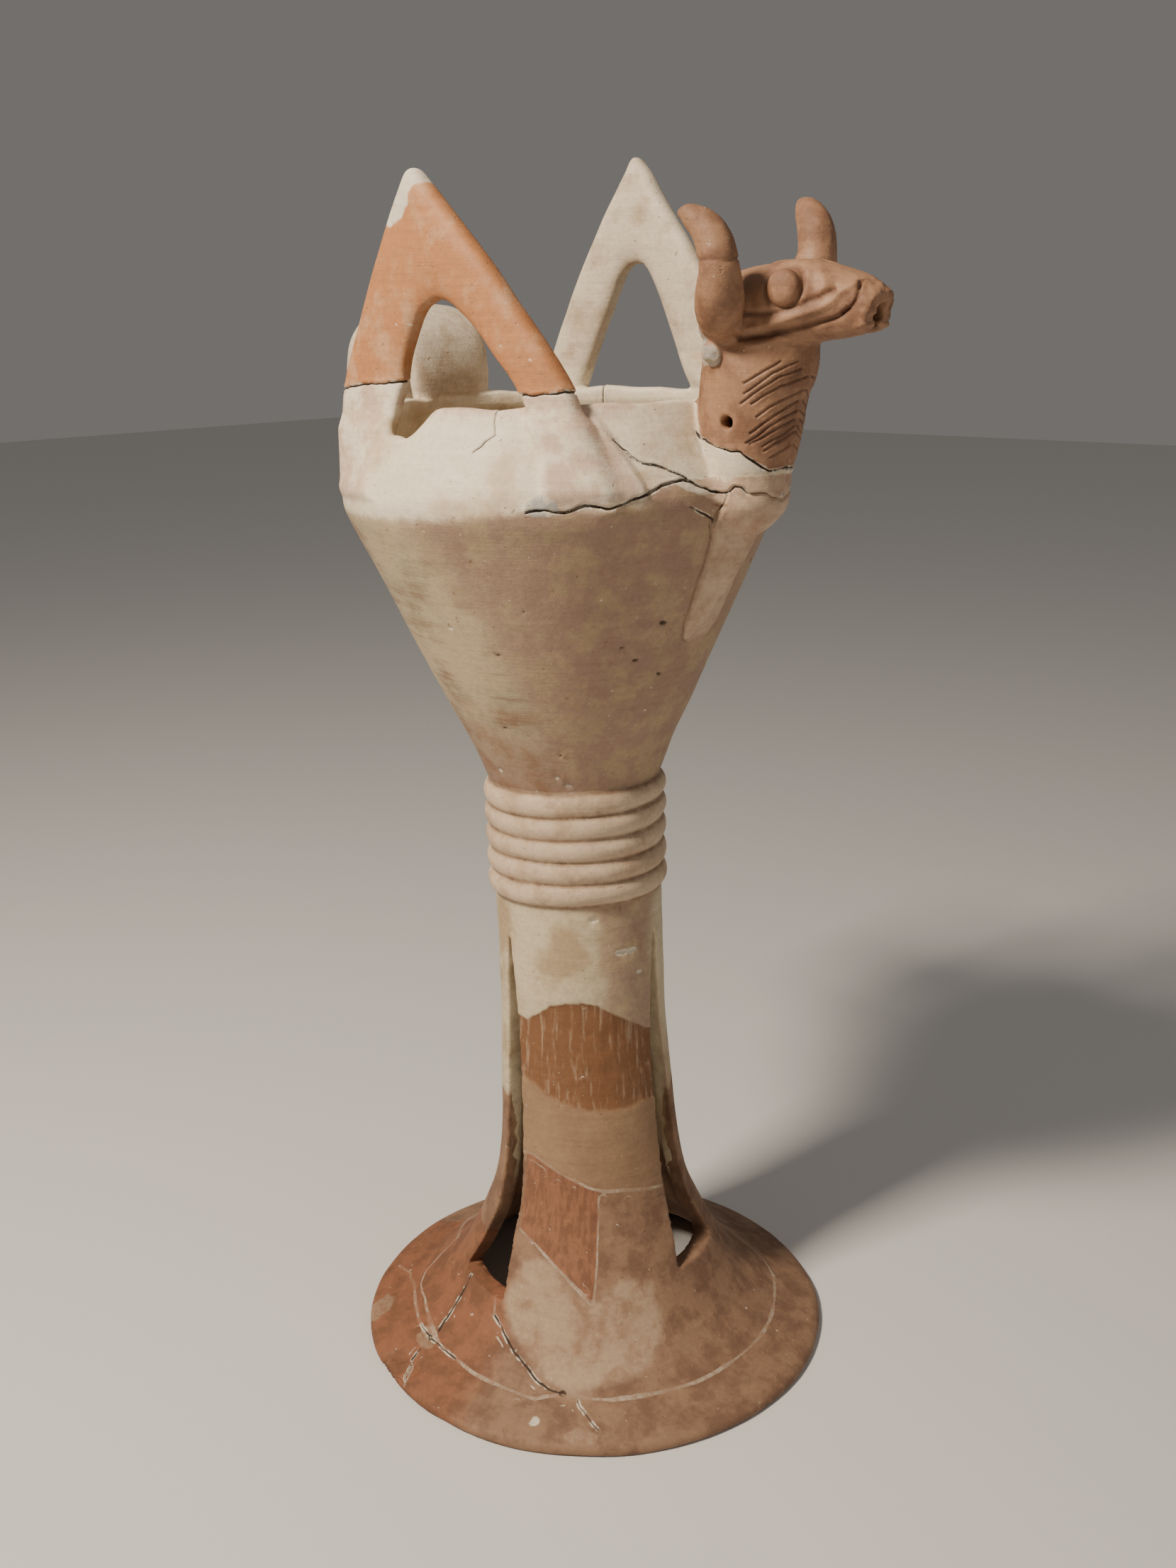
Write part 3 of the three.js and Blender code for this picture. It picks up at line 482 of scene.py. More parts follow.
class Form:
    """The vessel's sizes and the lines that follow from them, in millimetres."""

    def __init__(self, size):
        self.__dict__.update(size)
        self.foot_edge = 5.0
        self.flare_height = 170.0
        self.foot_line_height = 14.0
        self.ribs_bottom, self.rib_pitch, self.rib_depth = 253.0, 11.6, 3.4
        self.ribs_top = self.ribs_bottom + 5 * self.rib_pitch
        self.turn = self.ribs_top + 142.0
        self.mouth = self.turn + 45.0
        self.neck_width, self.head_length, self.head_width, self.head_depth = 53.0, 76.0, 44.0, 37.0
        self.neck_middle = self.bowl_radius + 7.0
        self.head_middle = self.turn + 80.0
        self.head_back = self.neck_middle - 0.24 * self.head_length
        self.head_floor = self.head_middle - 0.5 * self.head_depth
        self.lean = math.radians(2.0)
        gap = self.foot_line_radius - self.stem_radius
        self.flare = [
            (self.stem_radius + a * gap, self.foot_line_height + b * self.flare_height) for a, b in FLARE_SHARES
        ]
        growth = self.bowl_radius - self.stem_radius
        self.cone = [(self.stem_radius + a * growth, self.ribs_top + b * 142.0) for a, b in CONE_SHARES]
        narrowing = self.bowl_radius - self.mouth_radius
        self.shoulder = [
            (self.bowl_radius - 0.04 * narrowing, self.turn + 6.3),
            (self.bowl_radius - 0.36 * narrowing, self.turn + 19.8),
            (self.mouth_radius, self.mouth - 0.25 * self.wall),
        ]

    def wall_radius(self, height):
        """The outer radius between the ribs and the mouth."""
        line = np.array(self.cone + self.shoulder)
        return np.interp(height, line[:, 1], line[:, 0])

    def handle_stand(self, aside, height):
        """How far a pointed handle's middle stands from the axis: a slab, and round on the shoulder."""
        slab = 78.0 - aside**2 / 600.0
        sunk = np.interp(height, [self.turn, self.mouth], [0.54, 0.3]) * self.handle_thickness
        radius = self.wall_radius(height) - sunk - 0.6 * np.maximum(height - self.mouth, 0)
        ring = np.sqrt(np.maximum(radius**2 - aside**2, 0))
        gap = ring - slab
        return slab + 0.5 * (gap + np.sqrt(gap**2 + 9.0))


def fine(line, spacing=2.0):
    """A smooth line through points of radius and height, cut into short steps."""
    line = np.asarray(line, float)
    steps = max(int(np.linalg.norm(np.diff(line, axis=0), axis=1).sum() / spacing), 2)
    return spline(line, np.linspace(0, 1, steps + 1))


def wall_outside(form):
    """The wall's outer line of radius and height, from the resting ring up to the mouth."""
    ribs = []
    for i in range(5):
        bottom = form.ribs_bottom + i * form.rib_pitch
        for k in range(13):
            bulge = math.sin(math.pi * k / 12) ** 0.55
            ribs.append((form.stem_radius + 0.2 + form.rib_depth * bulge, bottom + form.rib_pitch * k / 12))
    outer = [(form.foot_radius - 2.0, 0), (form.foot_radius - 0.6, 0.6), (form.foot_radius, 2.2)]
    outer += [(form.foot_radius - 0.2, 3.8), (form.foot_radius - 1.4, 5.2), (form.foot_radius - 3.2, 6.2)]
    edge = [(form.foot_radius - 3.2, 6.2), (form.foot_radius - 14, 10.4), (form.foot_line_radius + 3, 13.4)]
    outer += list(fine(edge))
    outer += list(fine(form.flare))
    outer += ribs
    outer += list(fine(form.cone))[1:]
    outer += list(fine([form.cone[-1]] + form.shoulder))[1:]
    return outer


def turned_wall(form):
    """The foot, stem and bowl as one turned wall, open at the mouth and below."""
    wall = form.wall
    outer = wall_outside(form)
    rim = [(form.mouth_radius - 0.12 * wall, form.mouth - 0.6), (form.mouth_radius - 0.35 * wall, form.mouth)]
    rim += [(form.mouth_radius - 0.65 * wall, form.mouth - 0.2), (form.mouth_radius - 0.9 * wall, form.mouth - 1.2)]
    inner_line = np.array([p for p in inset(form.cone[2:] + form.shoulder, wall) if p[1] < form.mouth - 4])
    inner = list(fine(inner_line))[::-1]
    floor = form.ribs_top + 14.0
    inner += [(0.55 * form.stem_radius, floor + 2), (0.3 * form.stem_radius, floor + 0.6), (0, floor)]
    below = [(0, form.ribs_top - wall), (0.6 * (form.stem_radius - wall), form.ribs_top - wall)]
    below += [(form.stem_radius - wall, form.ribs_top - wall - 8)]
    below += [p for p in inset(fine(form.flare, 6.0), wall) if p[1] > 3][::-1]
    below += [(form.foot_radius - 14.0, 2.0)]
    outside = [(form.foot_radius - 13.0, 0)] + outer + rim + inner
    return turned("turned_wall", outside[::-1] + below[::-1])


def uneven_rim(form, wall):
    """Tilts the mouth slightly and lets its edge dip where a piece of the rim is gone."""
    p = points_of(wall)
    turn = np.degrees(np.arctan2(p[:, 1], p[:, 0]))
    tilt = 1.7 * np.cos(np.radians(turn - 128)) * smoothstep(form.turn + 12, form.mouth, p[:, 2])
    dip = band(turn, -141, -131, -99, -88.5) * smoothstep(form.mouth - 26, form.mouth, p[:, 2])
    ragged = 0.5 * np.sin(np.radians(turn) * 7 + 1) + 0.35 * np.sin(np.radians(turn) * 17)
    drop = tilt - (13 + 1.2 * np.sin(np.radians(turn) * 31)) * dip
    drop = drop + ragged * smoothstep(form.mouth - 6, form.mouth, p[:, 2])
    rim = p[:, 2] > form.turn + 10
    slope = (form.bowl_radius - form.mouth_radius) / (form.mouth - form.turn)
    out = -slope * drop
    r = np.hypot(p[:, 0], p[:, 1])
    scale = np.where(rim, (r + out) / np.maximum(r, 1), 1)
    p[:, 0] *= scale
    p[:, 1] *= scale
    p[:, 2] += np.where(rim, drop, 0)
    # The ribs were pressed on by hand
    on_ribs = band(p[:, 2], form.ribs_bottom - 3, form.ribs_bottom + 1, form.ribs_top - 1, form.ribs_top + 4)
    on_ribs = on_ribs * (r > form.stem_radius - 1)
    p[:, 2] += on_ribs * (0.7 * np.sin(np.radians(turn) + 0.6) + 0.5 * np.sin(2.3 * np.radians(turn) + p[:, 2] * 0.11))
    move_to(wall, p)


def window_cutter(form, turn, bottom):
    """A tall triangle pushed outwards through the wall."""
    rise = 232.0 - bottom
    sides = [(share * form.window_width, bottom + height * rise) for share, height in WINDOW_SHARES]
    outline = [(-x, z) for x, z in reversed(sides)] + sides
    clear_selection()
    bpy.ops.mesh.primitive_circle_add(vertices=len(outline), radius=0.01, fill_type="NGON")
    obj = named("window")
    move_to(obj, [(0.0, x, z) for x, z in outline])
    bpy.ops.object.mode_set(mode="EDIT")
    bpy.ops.mesh.select_all(action="SELECT")
    bpy.ops.mesh.extrude_region_move(TRANSFORM_OT_translate={"value": (form.foot_radius * MM, 0, 0)})
    bpy.ops.object.mode_set(mode="OBJECT")
    obj.rotation_euler = (0, 0, math.radians(turn))
    bpy.ops.object.transform_apply(location=False, rotation=True, scale=False)
    return outward(obj)


def pointed_handle(form, name, turn, outer, inner):
    """A slab between a pointed outer line and a pointed opening, standing on the shoulder."""
    rows = 120
    obj = ball(name, 56, rows)
    p = points_of(obj)

    def both(table):
        left = [(a, form.turn + h) for a, _, h in table]
        right = [(b, form.turn + h) for _, b, h in table[:-1]]
        return left + right[::-1]

    share, reach = ball_shares(p, rows)
    out, back = spline(both(outer), share), spline(both(inner), share)
    angle = np.arctan2(p[:, 0], p[:, 1])
    across = reach * signed_power(np.cos(angle), 0.62)
    thick = reach * signed_power(np.sin(angle), 0.72)
    flat = 0.5 * (out + back) + 0.5 * across[:, None] * (out - back)
    stand = form.handle_stand(flat[:, 0], flat[:, 1]) + 0.5 * thick * form.handle_thickness
    move_to(obj, np.column_stack([stand, flat[:, 0], flat[:, 1]]))
    obj.rotation_euler = (0, 0, math.radians(turn))
    bpy.ops.object.transform_apply(location=False, rotation=True, scale=False)
    return outward(obj)


def strap_handle(form):
    """A broad band from the mouth up, over and down to the sharp turn."""
    thick, rise = 11.0, 47.0
    inner = form.mouth_radius - 0.5 * thick
    outer = form.bowl_radius + 34.0 - 0.5 * thick
    reach = outer - inner
    line = [
        (inner + 0.06 * reach, form.mouth - 12),
        (inner, form.mouth + 0.3 * rise),
        (inner + 0.1 * reach, form.mouth + 0.66 * rise),
        (inner + 0.46 * reach, form.mouth + rise - 0.5 * thick),
        (inner + 0.92 * reach, form.mouth + 0.6 * rise),
        (outer, form.mouth + 0.1 * rise),
        (inner + 0.83 * reach, form.turn + 24),
        (form.bowl_radius - 0.36 * thick, form.turn + 0.8),
    ]
    stations = [(r, 0, z, 0.5 * thick, 0.5 * form.strap_width) for r, z in line]
    stations[0] = (line[0][0], -0.07 * form.strap_width, line[0][1], 0.5 * thick, 0.43 * form.strap_width)
    strap = tube("strap", stations, 64, 80, square=3.4)
    strap.rotation_euler = (0, 0, math.radians(172))
    bpy.ops.object.transform_apply(location=False, rotation=True, scale=False)
    return strap


def bull(form):
    """The bull's neck, breast, keel, head, horns, eyes and ear, with the hollow inside."""
    half = 0.5 * form.neck_width
    rise = form.head_floor - form.turn

    def upright(table, wall=0.0):
        return [
            (form.neck_middle + a * form.neck_width, 0, form.turn + b * rise, c * half - wall, d * half - wall)
            for a, b, c, d in table
        ]

    def lying(table):
        return [
            (
                form.head_back + a * form.head_length,
                0,
                form.head_middle + b * form.head_depth,
                c * form.head_depth,
                d * form.head_width,
            )
            for a, b, c, d in table
        ]

    neck = tube("neck", upright([
        (-0.26, 0.03, 0.66, 0.78),
        (-0.19, 0.21, 0.8, 0.84),
        (-0.12, 0.5, 0.88, 0.88),
        (-0.06, 0.78, 0.91, 0.92),
        (0, 0.97, 0.97, 0.94),
        (0.08, 1.3, 0.86, 0.8),
    ]), 64, 60)
    head = tube("head", lying([
        (0, 0, 0.11, 0.1),
        (0.05, 0.04, 0.38, 0.34),
        (0.16, 0.002, 0.45, 0.465),
        (0.36, 0.036, 0.465, 0.5),
        (0.56, 0.062, 0.445, 0.46),
        (0.74, 0.05, 0.39, 0.37),
        (0.9, 0, 0.315, 0.3),
        (1, -0.09, 0.24, 0.25),
    ]), 64, 80, square=2.4)
    breast_table = [
        (0.24, 0, 0, 0.84, 0.84),
        (0.1, -0.08, 0, 0.79, 0.82),
        (-0.05, -0.2, 0, 0.66, 0.74),
        (-0.16, -0.32, 0, 0.42, 0.5),
    ]
    breast_stations = []
    for up, out, aside, deep, wide in breast_table:
        height = form.turn + up * 58.0
        place = form.wall_radius(height) + out * half
        breast_stations.append((place, aside * half, height, deep * half, wide * half))
    parts = [neck, head, tube("breast", breast_stations, 64, 40), tube("keel", KEEL, 64, 90, square=1.12)]
    for side, lift in ((1, FAR_HORN_LIFT), (-1, 0.0)):
        stations = []
        for ahead, aside, up, radius in HORN:
            height = form.head_middle + up + lift * float(smoothstep(0, 18, up))
            stations.append((form.neck_middle + ahead, side * aside * form.horn_spread / 85, height, radius, radius))
        parts.append(tube("horn", stations, 32, 48, side=(0, 1, -0.35 * side)))
        eye = ball("eye", 32, 20)
        place = (form.head_back + 0.545 * form.head_length, 0.44 * side * form.head_width, form.head_middle + 8.1)
        move_to(eye, points_of(eye) * (7.6, 5.2, 7.6) + place)
        parts.append(eye)
    ear = ball("ear", 24, 16)
    place = (form.neck_middle - 8, -0.5 * form.head_width - 1.1, form.head_floor + 2.8)
    move_to(ear, points_of(ear) * (5.5, 6.0, 6.0) + place)
    parts.append(ear)
    whole = parts[0]
    for part in parts[1:]:
        boolean(whole, part, "UNION")
    boolean(whole, tube("neck_hollow", upright([
        (-0.17, 0.33, 0.8, 0.84),
        (-0.12, 0.5, 0.88, 0.88),
        (-0.06, 0.78, 0.9, 0.9),
        (0.02, 1.03, 0.92, 0.86),
        (0.08, 1.3, 0.8, 0.72),
    ], 8.0), 32, 32), "DIFFERENCE")
    boolean(whole, tube("head_hollow", lying([
        (0.19, -0.11, 0.2, 0.2),
        (0.54, -0.08, 0.24, 0.26),
        (0.8, -0.11, 4.7 / 37, 5.7 / 44),
        (1.05, -0.1, 5.2 / 37, 5.2 / 44),
    ]), 32, 32), "DIFFERENCE")
    clear_selection()
    bpy.ops.mesh.primitive_cylinder_add(
        vertices=32,
        radius=3 * MM,
        depth=form.neck_width * MM,
        location=((form.neck_middle - 3.2) * MM, -0.5 * form.neck_width * MM, (form.turn + 34) * MM),
        rotation=(math.pi / 2, 0, 0),
    )
    vent = named("vent")
    bpy.ops.object.transform_apply(location=True, rotation=True, scale=False)
    boolean(whole, vent, "DIFFERENCE")
    whole.name = "bull"
    return whole


def bowl_plug(form):
    """The room inside the bowl, used to trim what is joined on from outside."""
    inner = [p for p in inset(form.cone[2:] + form.shoulder, form.wall) if p[1] < form.mouth - 4]
    line = [(0, form.ribs_top + 14.0)] + list(fine(inner))
    line += [(form.mouth_radius - form.wall, form.mouth - 2), (form.mouth_radius - form.wall + 1, form.mouth + 2)]
    line += [(0, form.mouth + 2)]
    return turned("plug", line, 160)


# ---------------------------------------------------------------- marks and relief


def cloud(p, size, seed):
    """Soft noise from -1 to 1 over points in millimetres, with spots of about the given size."""
    grid = np.random.default_rng(seed).random((32, 32, 32))
    q = np.asarray(p) / size + 100.0
    cell = np.floor(q).astype(int)
    f = q - cell
    f = f * f * (3 - 2 * f)
    total = np.zeros(len(q))
    for i in (0, 1):
        for j in (0, 1):
            for k in (0, 1):
                x, y, z = (f[:, axis] if step else 1 - f[:, axis] for axis, step in enumerate((i, j, k)))
                total += x * y * z * grid[(cell[:, 0] + i) % 32, (cell[:, 1] + j) % 32, (cell[:, 2] + k) % 32]
    return 2 * total - 1


def shaken(p, by, size, seeds):
    """Points moved a little by soft noise."""
    return p + by * np.column_stack([cloud(p, size, seed) for seed in seeds])


def sideways(p):
    """A vector along Y for each point."""
    return np.tile([0.0, 1.0, 0.0], (len(p), 1))


class Wall:
    """Where points lie on the turned wall: their turn, their place up its outer line and how far off it they are."""

    def __init__(self, form):
        line = np.array([(form.foot_radius - 1, 0)] + wall_outside(form)[1:])
        self.radius, self.height = line[:, 0], line[:, 1]
        self.run = np.concatenate([[0], np.cumsum(np.linalg.norm(np.diff(line, axis=0), axis=1))])

    def place(self, turns, heights):
        """Points on the outer line, from turns in degrees and heights."""
        r = np.interp(heights, self.height, self.radius)
        a = np.radians(turns)
        return np.column_stack([r * np.cos(a), r * np.sin(a), heights])

    def read(self, p):
        """Turn in degrees and how far off the wall's outer line each point stands, square to it."""
        r = np.hypot(p[:, 0], p[:, 1])
        step = 1.5
        above_it, below_it = (np.interp(p[:, 2] + by, self.height, self.radius) for by in (step, -step))
        slope = (above_it - below_it) / (2 * step)
        off = (r - np.interp(p[:, 2], self.height, self.radius)) / np.sqrt(1 + slope**2)
        return np.degrees(np.arctan2(p[:, 1], p[:, 0])), off


def normals_of(obj):
    """An object's vertex normals."""
    flat = np.empty(3 * len(obj.data.vertices), np.float32)
    obj.data.vertices.foreach_get("normal", flat)
    return flat.reshape(-1, 3).astype(float)


def line_reach(p, n, line, far):
    """Signed distance of points to a line in space, and 0 to 1 for how well they lie along it; far points are left."""
    line = np.asarray(line, float)
    across = np.full(len(p), far)
    along = np.zeros(len(p))
    near = np.all((p > line.min(0) - far) & (p < line.max(0) + far), axis=1).nonzero()[0]
    if len(near) == 0:
        return across, along
    a, ab = line[:-1], np.diff(line, axis=0)
    q = p[near][:, None, :] - a[None]
    t = (q * ab).sum(-1) / (ab * ab).sum(-1)
    clipped = np.clip(t, 0, 1)
    off = q - clipped[..., None] * ab
    apart = np.linalg.norm(off, axis=-1)
    facing = n[near][:, None, :]
    along_skin = np.linalg.norm(off - facing * (off * facing).sum(-1, keepdims=True), axis=-1)
    gap = np.where(apart < far, along_skin, far + apart)
    best = gap.argmin(1)
    rows = np.arange(len(near))
    side = np.sign((np.cross(ab[best], off[rows, best]) * n[near]).sum(-1))
    gap = np.minimum(gap[rows, best], far)
    across[near] = np.where(side < 0, -1, 1) * gap
    over = np.maximum(-t[rows, best], t[rows, best] - 1) * np.linalg.norm(ab[best], axis=1)
    ended = ((best == 0) & (t[rows, best] < 0)) | ((best == len(a) - 1) & (t[rows, best] > 1))
    along[near] = np.where(ended, 1 - smoothstep(0, 0.9, over), 1.0) * (gap < far)
    return across, along


def wall_line(wall, points):
    """A line in space, cut into short runs, from turns and heights or from places."""
    points = np.array(points, float)
    if points.shape[1] == 3:
        return points
    steps = np.linspace(0, len(points) - 1, 4 * len(points) - 3)
    at = np.arange(len(points))
    return wall.place(np.interp(steps, at, points[:, 0]), np.interp(steps, at, points[:, 1]))


def within(q, outline, far=9.0):
    """Signed distance of flat points to a closed outline, above 0 inside it and -far away from it."""
    outline = np.asarray(outline, float)
    signed = np.full(len(q), -far)
    near = np.all((q > outline.min(0) - far) & (q < outline.max(0) + far), axis=1).nonzero()[0]
    x, y = q[near, 0], q[near, 1]
    best = np.full(len(near), 1e6)
    odd = np.zeros(len(near), bool)
    for (ax, ay), (cx, cy) in zip(outline, np.roll(outline, -1, axis=0)):
        dx, dy = cx - ax, cy - ay
        t = np.clip(((x - ax) * dx + (y - ay) * dy) / max(dx * dx + dy * dy, 1e-9), 0, 1)
        best = np.minimum(best, np.hypot(x - ax - t * dx, y - ay - t * dy))
        odd ^= ((ay > y) != (cy > y)) & (x < ax + (y - ay) * dx / (dy if abs(dy) > 1e-9 else 1e-9))
    signed[near] = np.clip(np.where(odd, best, -best), -far, far)
    return signed


def inside(wall, turn, height, outline):
    """Signed distance in millimetres along the wall to an outline of turns and heights."""
    outline = np.array(outline, float)
    middle = outline[:, 0].mean()

    def flat(turns, heights):
        aside = np.radians((turns - middle + 180) % 360 - 180)
        radius, run = (np.interp(heights, wall.height, line) for line in (wall.radius, wall.run))
        return np.column_stack([radius * aside, run])

    return within(flat(turn, height), flat(outline[:, 0], outline[:, 1]))


def above(turn, height, line):
    """How far points are above a line of turns and heights."""
    line = np.array(line, float)
    return height - np.interp(turn, line[:, 0], line[:, 1])


def near_leg_crack(p):
    """Height above the break through the near handle's legs, for its points, and -20 elsewhere."""
    crack = np.where(p[:, 0] < 5, 506.4 + 0.05 * (p[:, 0] + 62), 501.4 + 0.03 * (p[:, 0] - 48))
    crack = crack + 0.7 * cloud(p * (1, 1, 0.2), 5.0, 21) + 0.3 * cloud(p * (1, 1, 0.2), 1.8, 22)
    handle = (p[:, 1] < -42) & (np.abs(p[:, 0]) < 92) & (p[:, 2] > 497.5)
    return np.where(handle, p[:, 2] - crack, -20.0)


def throat_lines(p, n):
    """How close points are to the lines cut into the throat, and 0 to 1 for how well they lie along them."""
    gap = np.full(len(p), 8.0)
    share = np.zeros(len(p))
    moved = shaken(p, 0.25, 6.0, (31, 32, 33))
    for line in THROAT:
        for side in (1, -1):
            a, on = line_reach(moved, n, np.array(line) * (1, side, 1), 5.0)
            closer = (np.abs(a) < gap) & (on > 0)
            gap = np.where(closer, np.abs(a), gap)
            share = np.where(closer, on, share)
    return gap, share


def head_side(p):
    """True for points on the sides of the head."""
    side = np.abs(p[:, 1])
    return (p[:, 0] > 104) & (p[:, 2] > 514) & (p[:, 2] < 556) & (side > 2.5) & (side < 27)


def eye_gap(p):
    """Distance of points to the eyes' middle, seen from the side."""
    return np.hypot(p[:, 0] - EYE[0], p[:, 2] - EYE[1])


def side_line(p, line):
    """Distance of points to a line of distances forward and heights, seen from the side."""
    flat = np.column_stack([p[:, 0], np.zeros(len(p)), p[:, 2]])
    points = np.array(line, float)
    smooth = spline(points, np.linspace(0, 1, 5 * len(points)))
    path = np.column_stack([smooth[:, 0], np.zeros(len(smooth)), smooth[:, 1]])
    across, along = line_reach(flat, sideways(p), path, 8.0)
    return np.abs(across), along


def crack_field(wall, p, n, turn, off):
    """Signed distance to the nearest open crack, its half width, and its depth there."""
    across = np.full(len(p), 6.0)
    width = np.zeros(len(p))
    depth = np.zeros(len(p))
    moved = shaken(p, 0.45, 3.0, (41, 42, 43))
    radius = 112.0
    flat = np.column_stack([np.radians(turn) * radius, np.zeros(len(p)), moved[:, 2]])
    uneven = 1 + 0.45 * cloud(p, 7.0, 47)
    mirrored = [([(x, -y, z) for x, y, z in row[0]], *row[1:]) for row in CRACKS if len(row[0][0]) == 3]
    for points, half, deep, reach in CRACKS + mirrored:
        if reach == 0:
            a, on = line_reach(moved, n, points, 6.0)
        elif reach > 0:
            a, on = line_reach(moved, n, wall_line(wall, points), 6.0)
            on = on * ((off > -12) & (off < reach))
        else:
            path = np.array([(math.radians(t) * radius, 0, h) for t, h in points])
            a, on = line_reach(flat, sideways(p), path, 6.0)
            on = on * ((off > -13) & (off < -reach))
        closer = (np.abs(a) < np.abs(across)) & (on > 0)
        across = np.where(closer, a, across)
        width = np.where(closer, half * uneven * on, width)
        depth = np.where(closer, deep * on, depth)
    leg = near_leg_crack(p)
    closer = np.abs(leg) < np.abs(across)
    across = np.where(closer, leg, across)
    width = np.where(closer, 0.5 * uneven, width)
    depth = np.where(closer, 1.1, depth)
    fade = 1 - smoothstep(1.8, 3.2, np.abs(across))
    return across, width * fade, depth * fade


def needs_detail(wall, p, n):
    """True for points near the marks that need a finer mesh."""
    turn, off = wall.read(p)
    _, width, _ = crack_field(wall, p, n, turn, off)
    gap, share = throat_lines(p, n)
    head = (p[:, 0] > 112) & (p[:, 2] > 512) & (np.abs(p[:, 1]) < 27)
    return (width > 0) | ((share > 0.01) & (gap < 2.5)) | head


def spot_field(wall, p, table):
    """How far inside the nearest spot of a table points are, 1 at its middle and below 0 outside, and its depth."""
    inside_by = np.full(len(p), -1.0)
    depth = np.zeros(len(p))
    for t, h, radius, deep in table:
        spot = wall.place([t], [h])[0]
        near = (np.linalg.norm(p - spot, axis=1) < 2.5 * radius).nonzero()[0]
        if len(near) == 0:
            continue
        reach = radius * (1 + 0.35 * cloud(p[near], 2.2, int(h) % 7))
        gap = np.linalg.norm((p[near] - spot) * (0.75, 0.75, 1.5), axis=1) / reach
        better = 1 - gap > inside_by[near]
        inside_by[near] = np.where(better, 1 - gap, inside_by[near])
        depth[near] = np.where(better, deep, depth[near])
    return inside_by, depth


def relief(form, wall, p, n):
    """How far each point moves out along its normal, in millimetres."""
    turn, off = wall.read(p)
    on_wall = np.abs(off) < 2.5
    move = 0.45 * cloud(p, 38.0, 1) + 0.2 * cloud(p, 14.0, 2) + 0.06 * cloud(p, 5.0, 3)
    # The spread feet of the near handle, and the keel's flat face
    for outline in LEG_FEET:
        foot = smoothstep(-2.2, 2.4, inside(wall, turn, p[:, 2], outline)) * smoothstep(454, 461, p[:, 2])
        move += 2.4 * foot * (off > -3) * (1 - smoothstep(486, 496, p[:, 2]))
    face = inside(wall, turn, p[:, 2], KEEL_FACE)
    along_face = (off > -3) * band(p[:, 2], 384, 396, 449, 456)
    move += along_face * (1.2 * smoothstep(-0.4, 1.4, face) - 0.9 * ridge(face + 0.7, 0.8))
    # Trimming marks run round the bowl
    bowl = band(p[:, 2], form.ribs_top, form.ribs_top + 12, form.turn - 6, form.turn)
    move += bowl * on_wall * 0.12 * cloud(p * (0.05, 0.05, 1), 5.0, 4)
    # Cracks between the sherds, with one lip a little higher, and seams
    across, width, depth = crack_field(wall, p, n, turn, off)
    groove = depth * np.exp(-((across / np.maximum(width * 1.05, 0.05)) ** 4))
    lips = 0.2 * ridge(np.abs(across) - width - 1.0, 0.9) * (width > 0)
    move += lips * np.sign(across) - groove
    for points, half, rise in SEAMS:
        a, on = line_reach(p, n, wall_line(wall, points), 5.0)
        move += rise * on * ridge(a, half * 1.4) * (on_wall | (len(points[0]) == 3))
    # The weathered patch on the stem has lost its skin
    stem = on_wall & (p[:, 2] < 240) & (p[:, 2] > 90)
    below = 1 - smoothstep(-0.8, 0.2, above(turn, p[:, 2], PATCH_TOP))
    patch = below * smoothstep(-1.2, 1.2, above(turn, p[:, 2], PATCH_BOTTOM))
    move -= stem * patch * (0.6 + 0.2 * cloud(p * (1, 1, 0.12), 2.2, 5) + 0.25 * cloud(p, 4.0, 6))
    # Chips and pits, and plaster that stands a little proud
    for table in (CHIPS, PITS):
        by, deep = spot_field(wall, p, table)
        move -= deep * smoothstep(-0.1, 0.45, by)
    fill = smoothstep(-0.6, 1.0, inside(wall, turn, p[:, 2], GREY_FILL))
    move += on_wall * 0.5 * fill * (0.6 + 0.4 * cloud(p, 2.0, 8))
    for outline in WHITE_FILLS:
        fill = smoothstep(-0.5, 0.8, inside(wall, turn, p[:, 2], outline))
        move += on_wall * 0.35 * fill * (0.5 + 0.8 * cloud(p, 1.8, 9))
    # The bull: throat lines, lines along the head, the ring round each eye, and the plaster behind the cheek
    gap, share = throat_lines(p, n)
    move += share * (0.2 * ridge(gap - 1.0, 0.45) - 0.7 * ridge(gap, 0.5))
    head = head_side(p)
    for line, half, rise in HEAD_LINES:
        a, on = side_line(p, line)
        move += head * on * rise * ridge(a, half)
    eye = eye_gap(p)
    lid = head * (np.abs(p[:, 1]) > 8)
    move += lid * (-0.9 * ridge(eye - EYE_RING, 0.7) + 0.35 * ridge(eye - 10.2, 1.1))
    move += (bull_edge(form, p, off) > 0) * (0.25 * cloud(p, 9.0, 10) + 0.12 * cloud(p, 3.6, 11))
    move += smoothstep(-0.5, 1.2, ear_fill(p)) * (0.9 + 0.9 * cloud(p, 3.0, 17) + 0.5 * cloud(p, 1.6, 18))
    # The break across the near horn
    move -= near_horn(p) * 0.8 * ridge(horn_break(p), 0.55)
    # The rough clay of the muzzle's broken end
    move += smoothstep(166, 170, p[:, 0]) * (0.9 * cloud(p, 4.2, 13) + 0.5 * cloud(p, 1.9, 14))
    # The sliver that is missing from the foot's edge
    low = (p[:, 2] < 9) & (np.hypot(p[:, 0], p[:, 1]) > 114)
    gone = band(turn, -118, -115.5, -106.5, -104)
    move -= low * gone * (1.9 + 0.8 * cloud(p, 3.0, 15))
    return move * (p[:, 2] > 0.6)


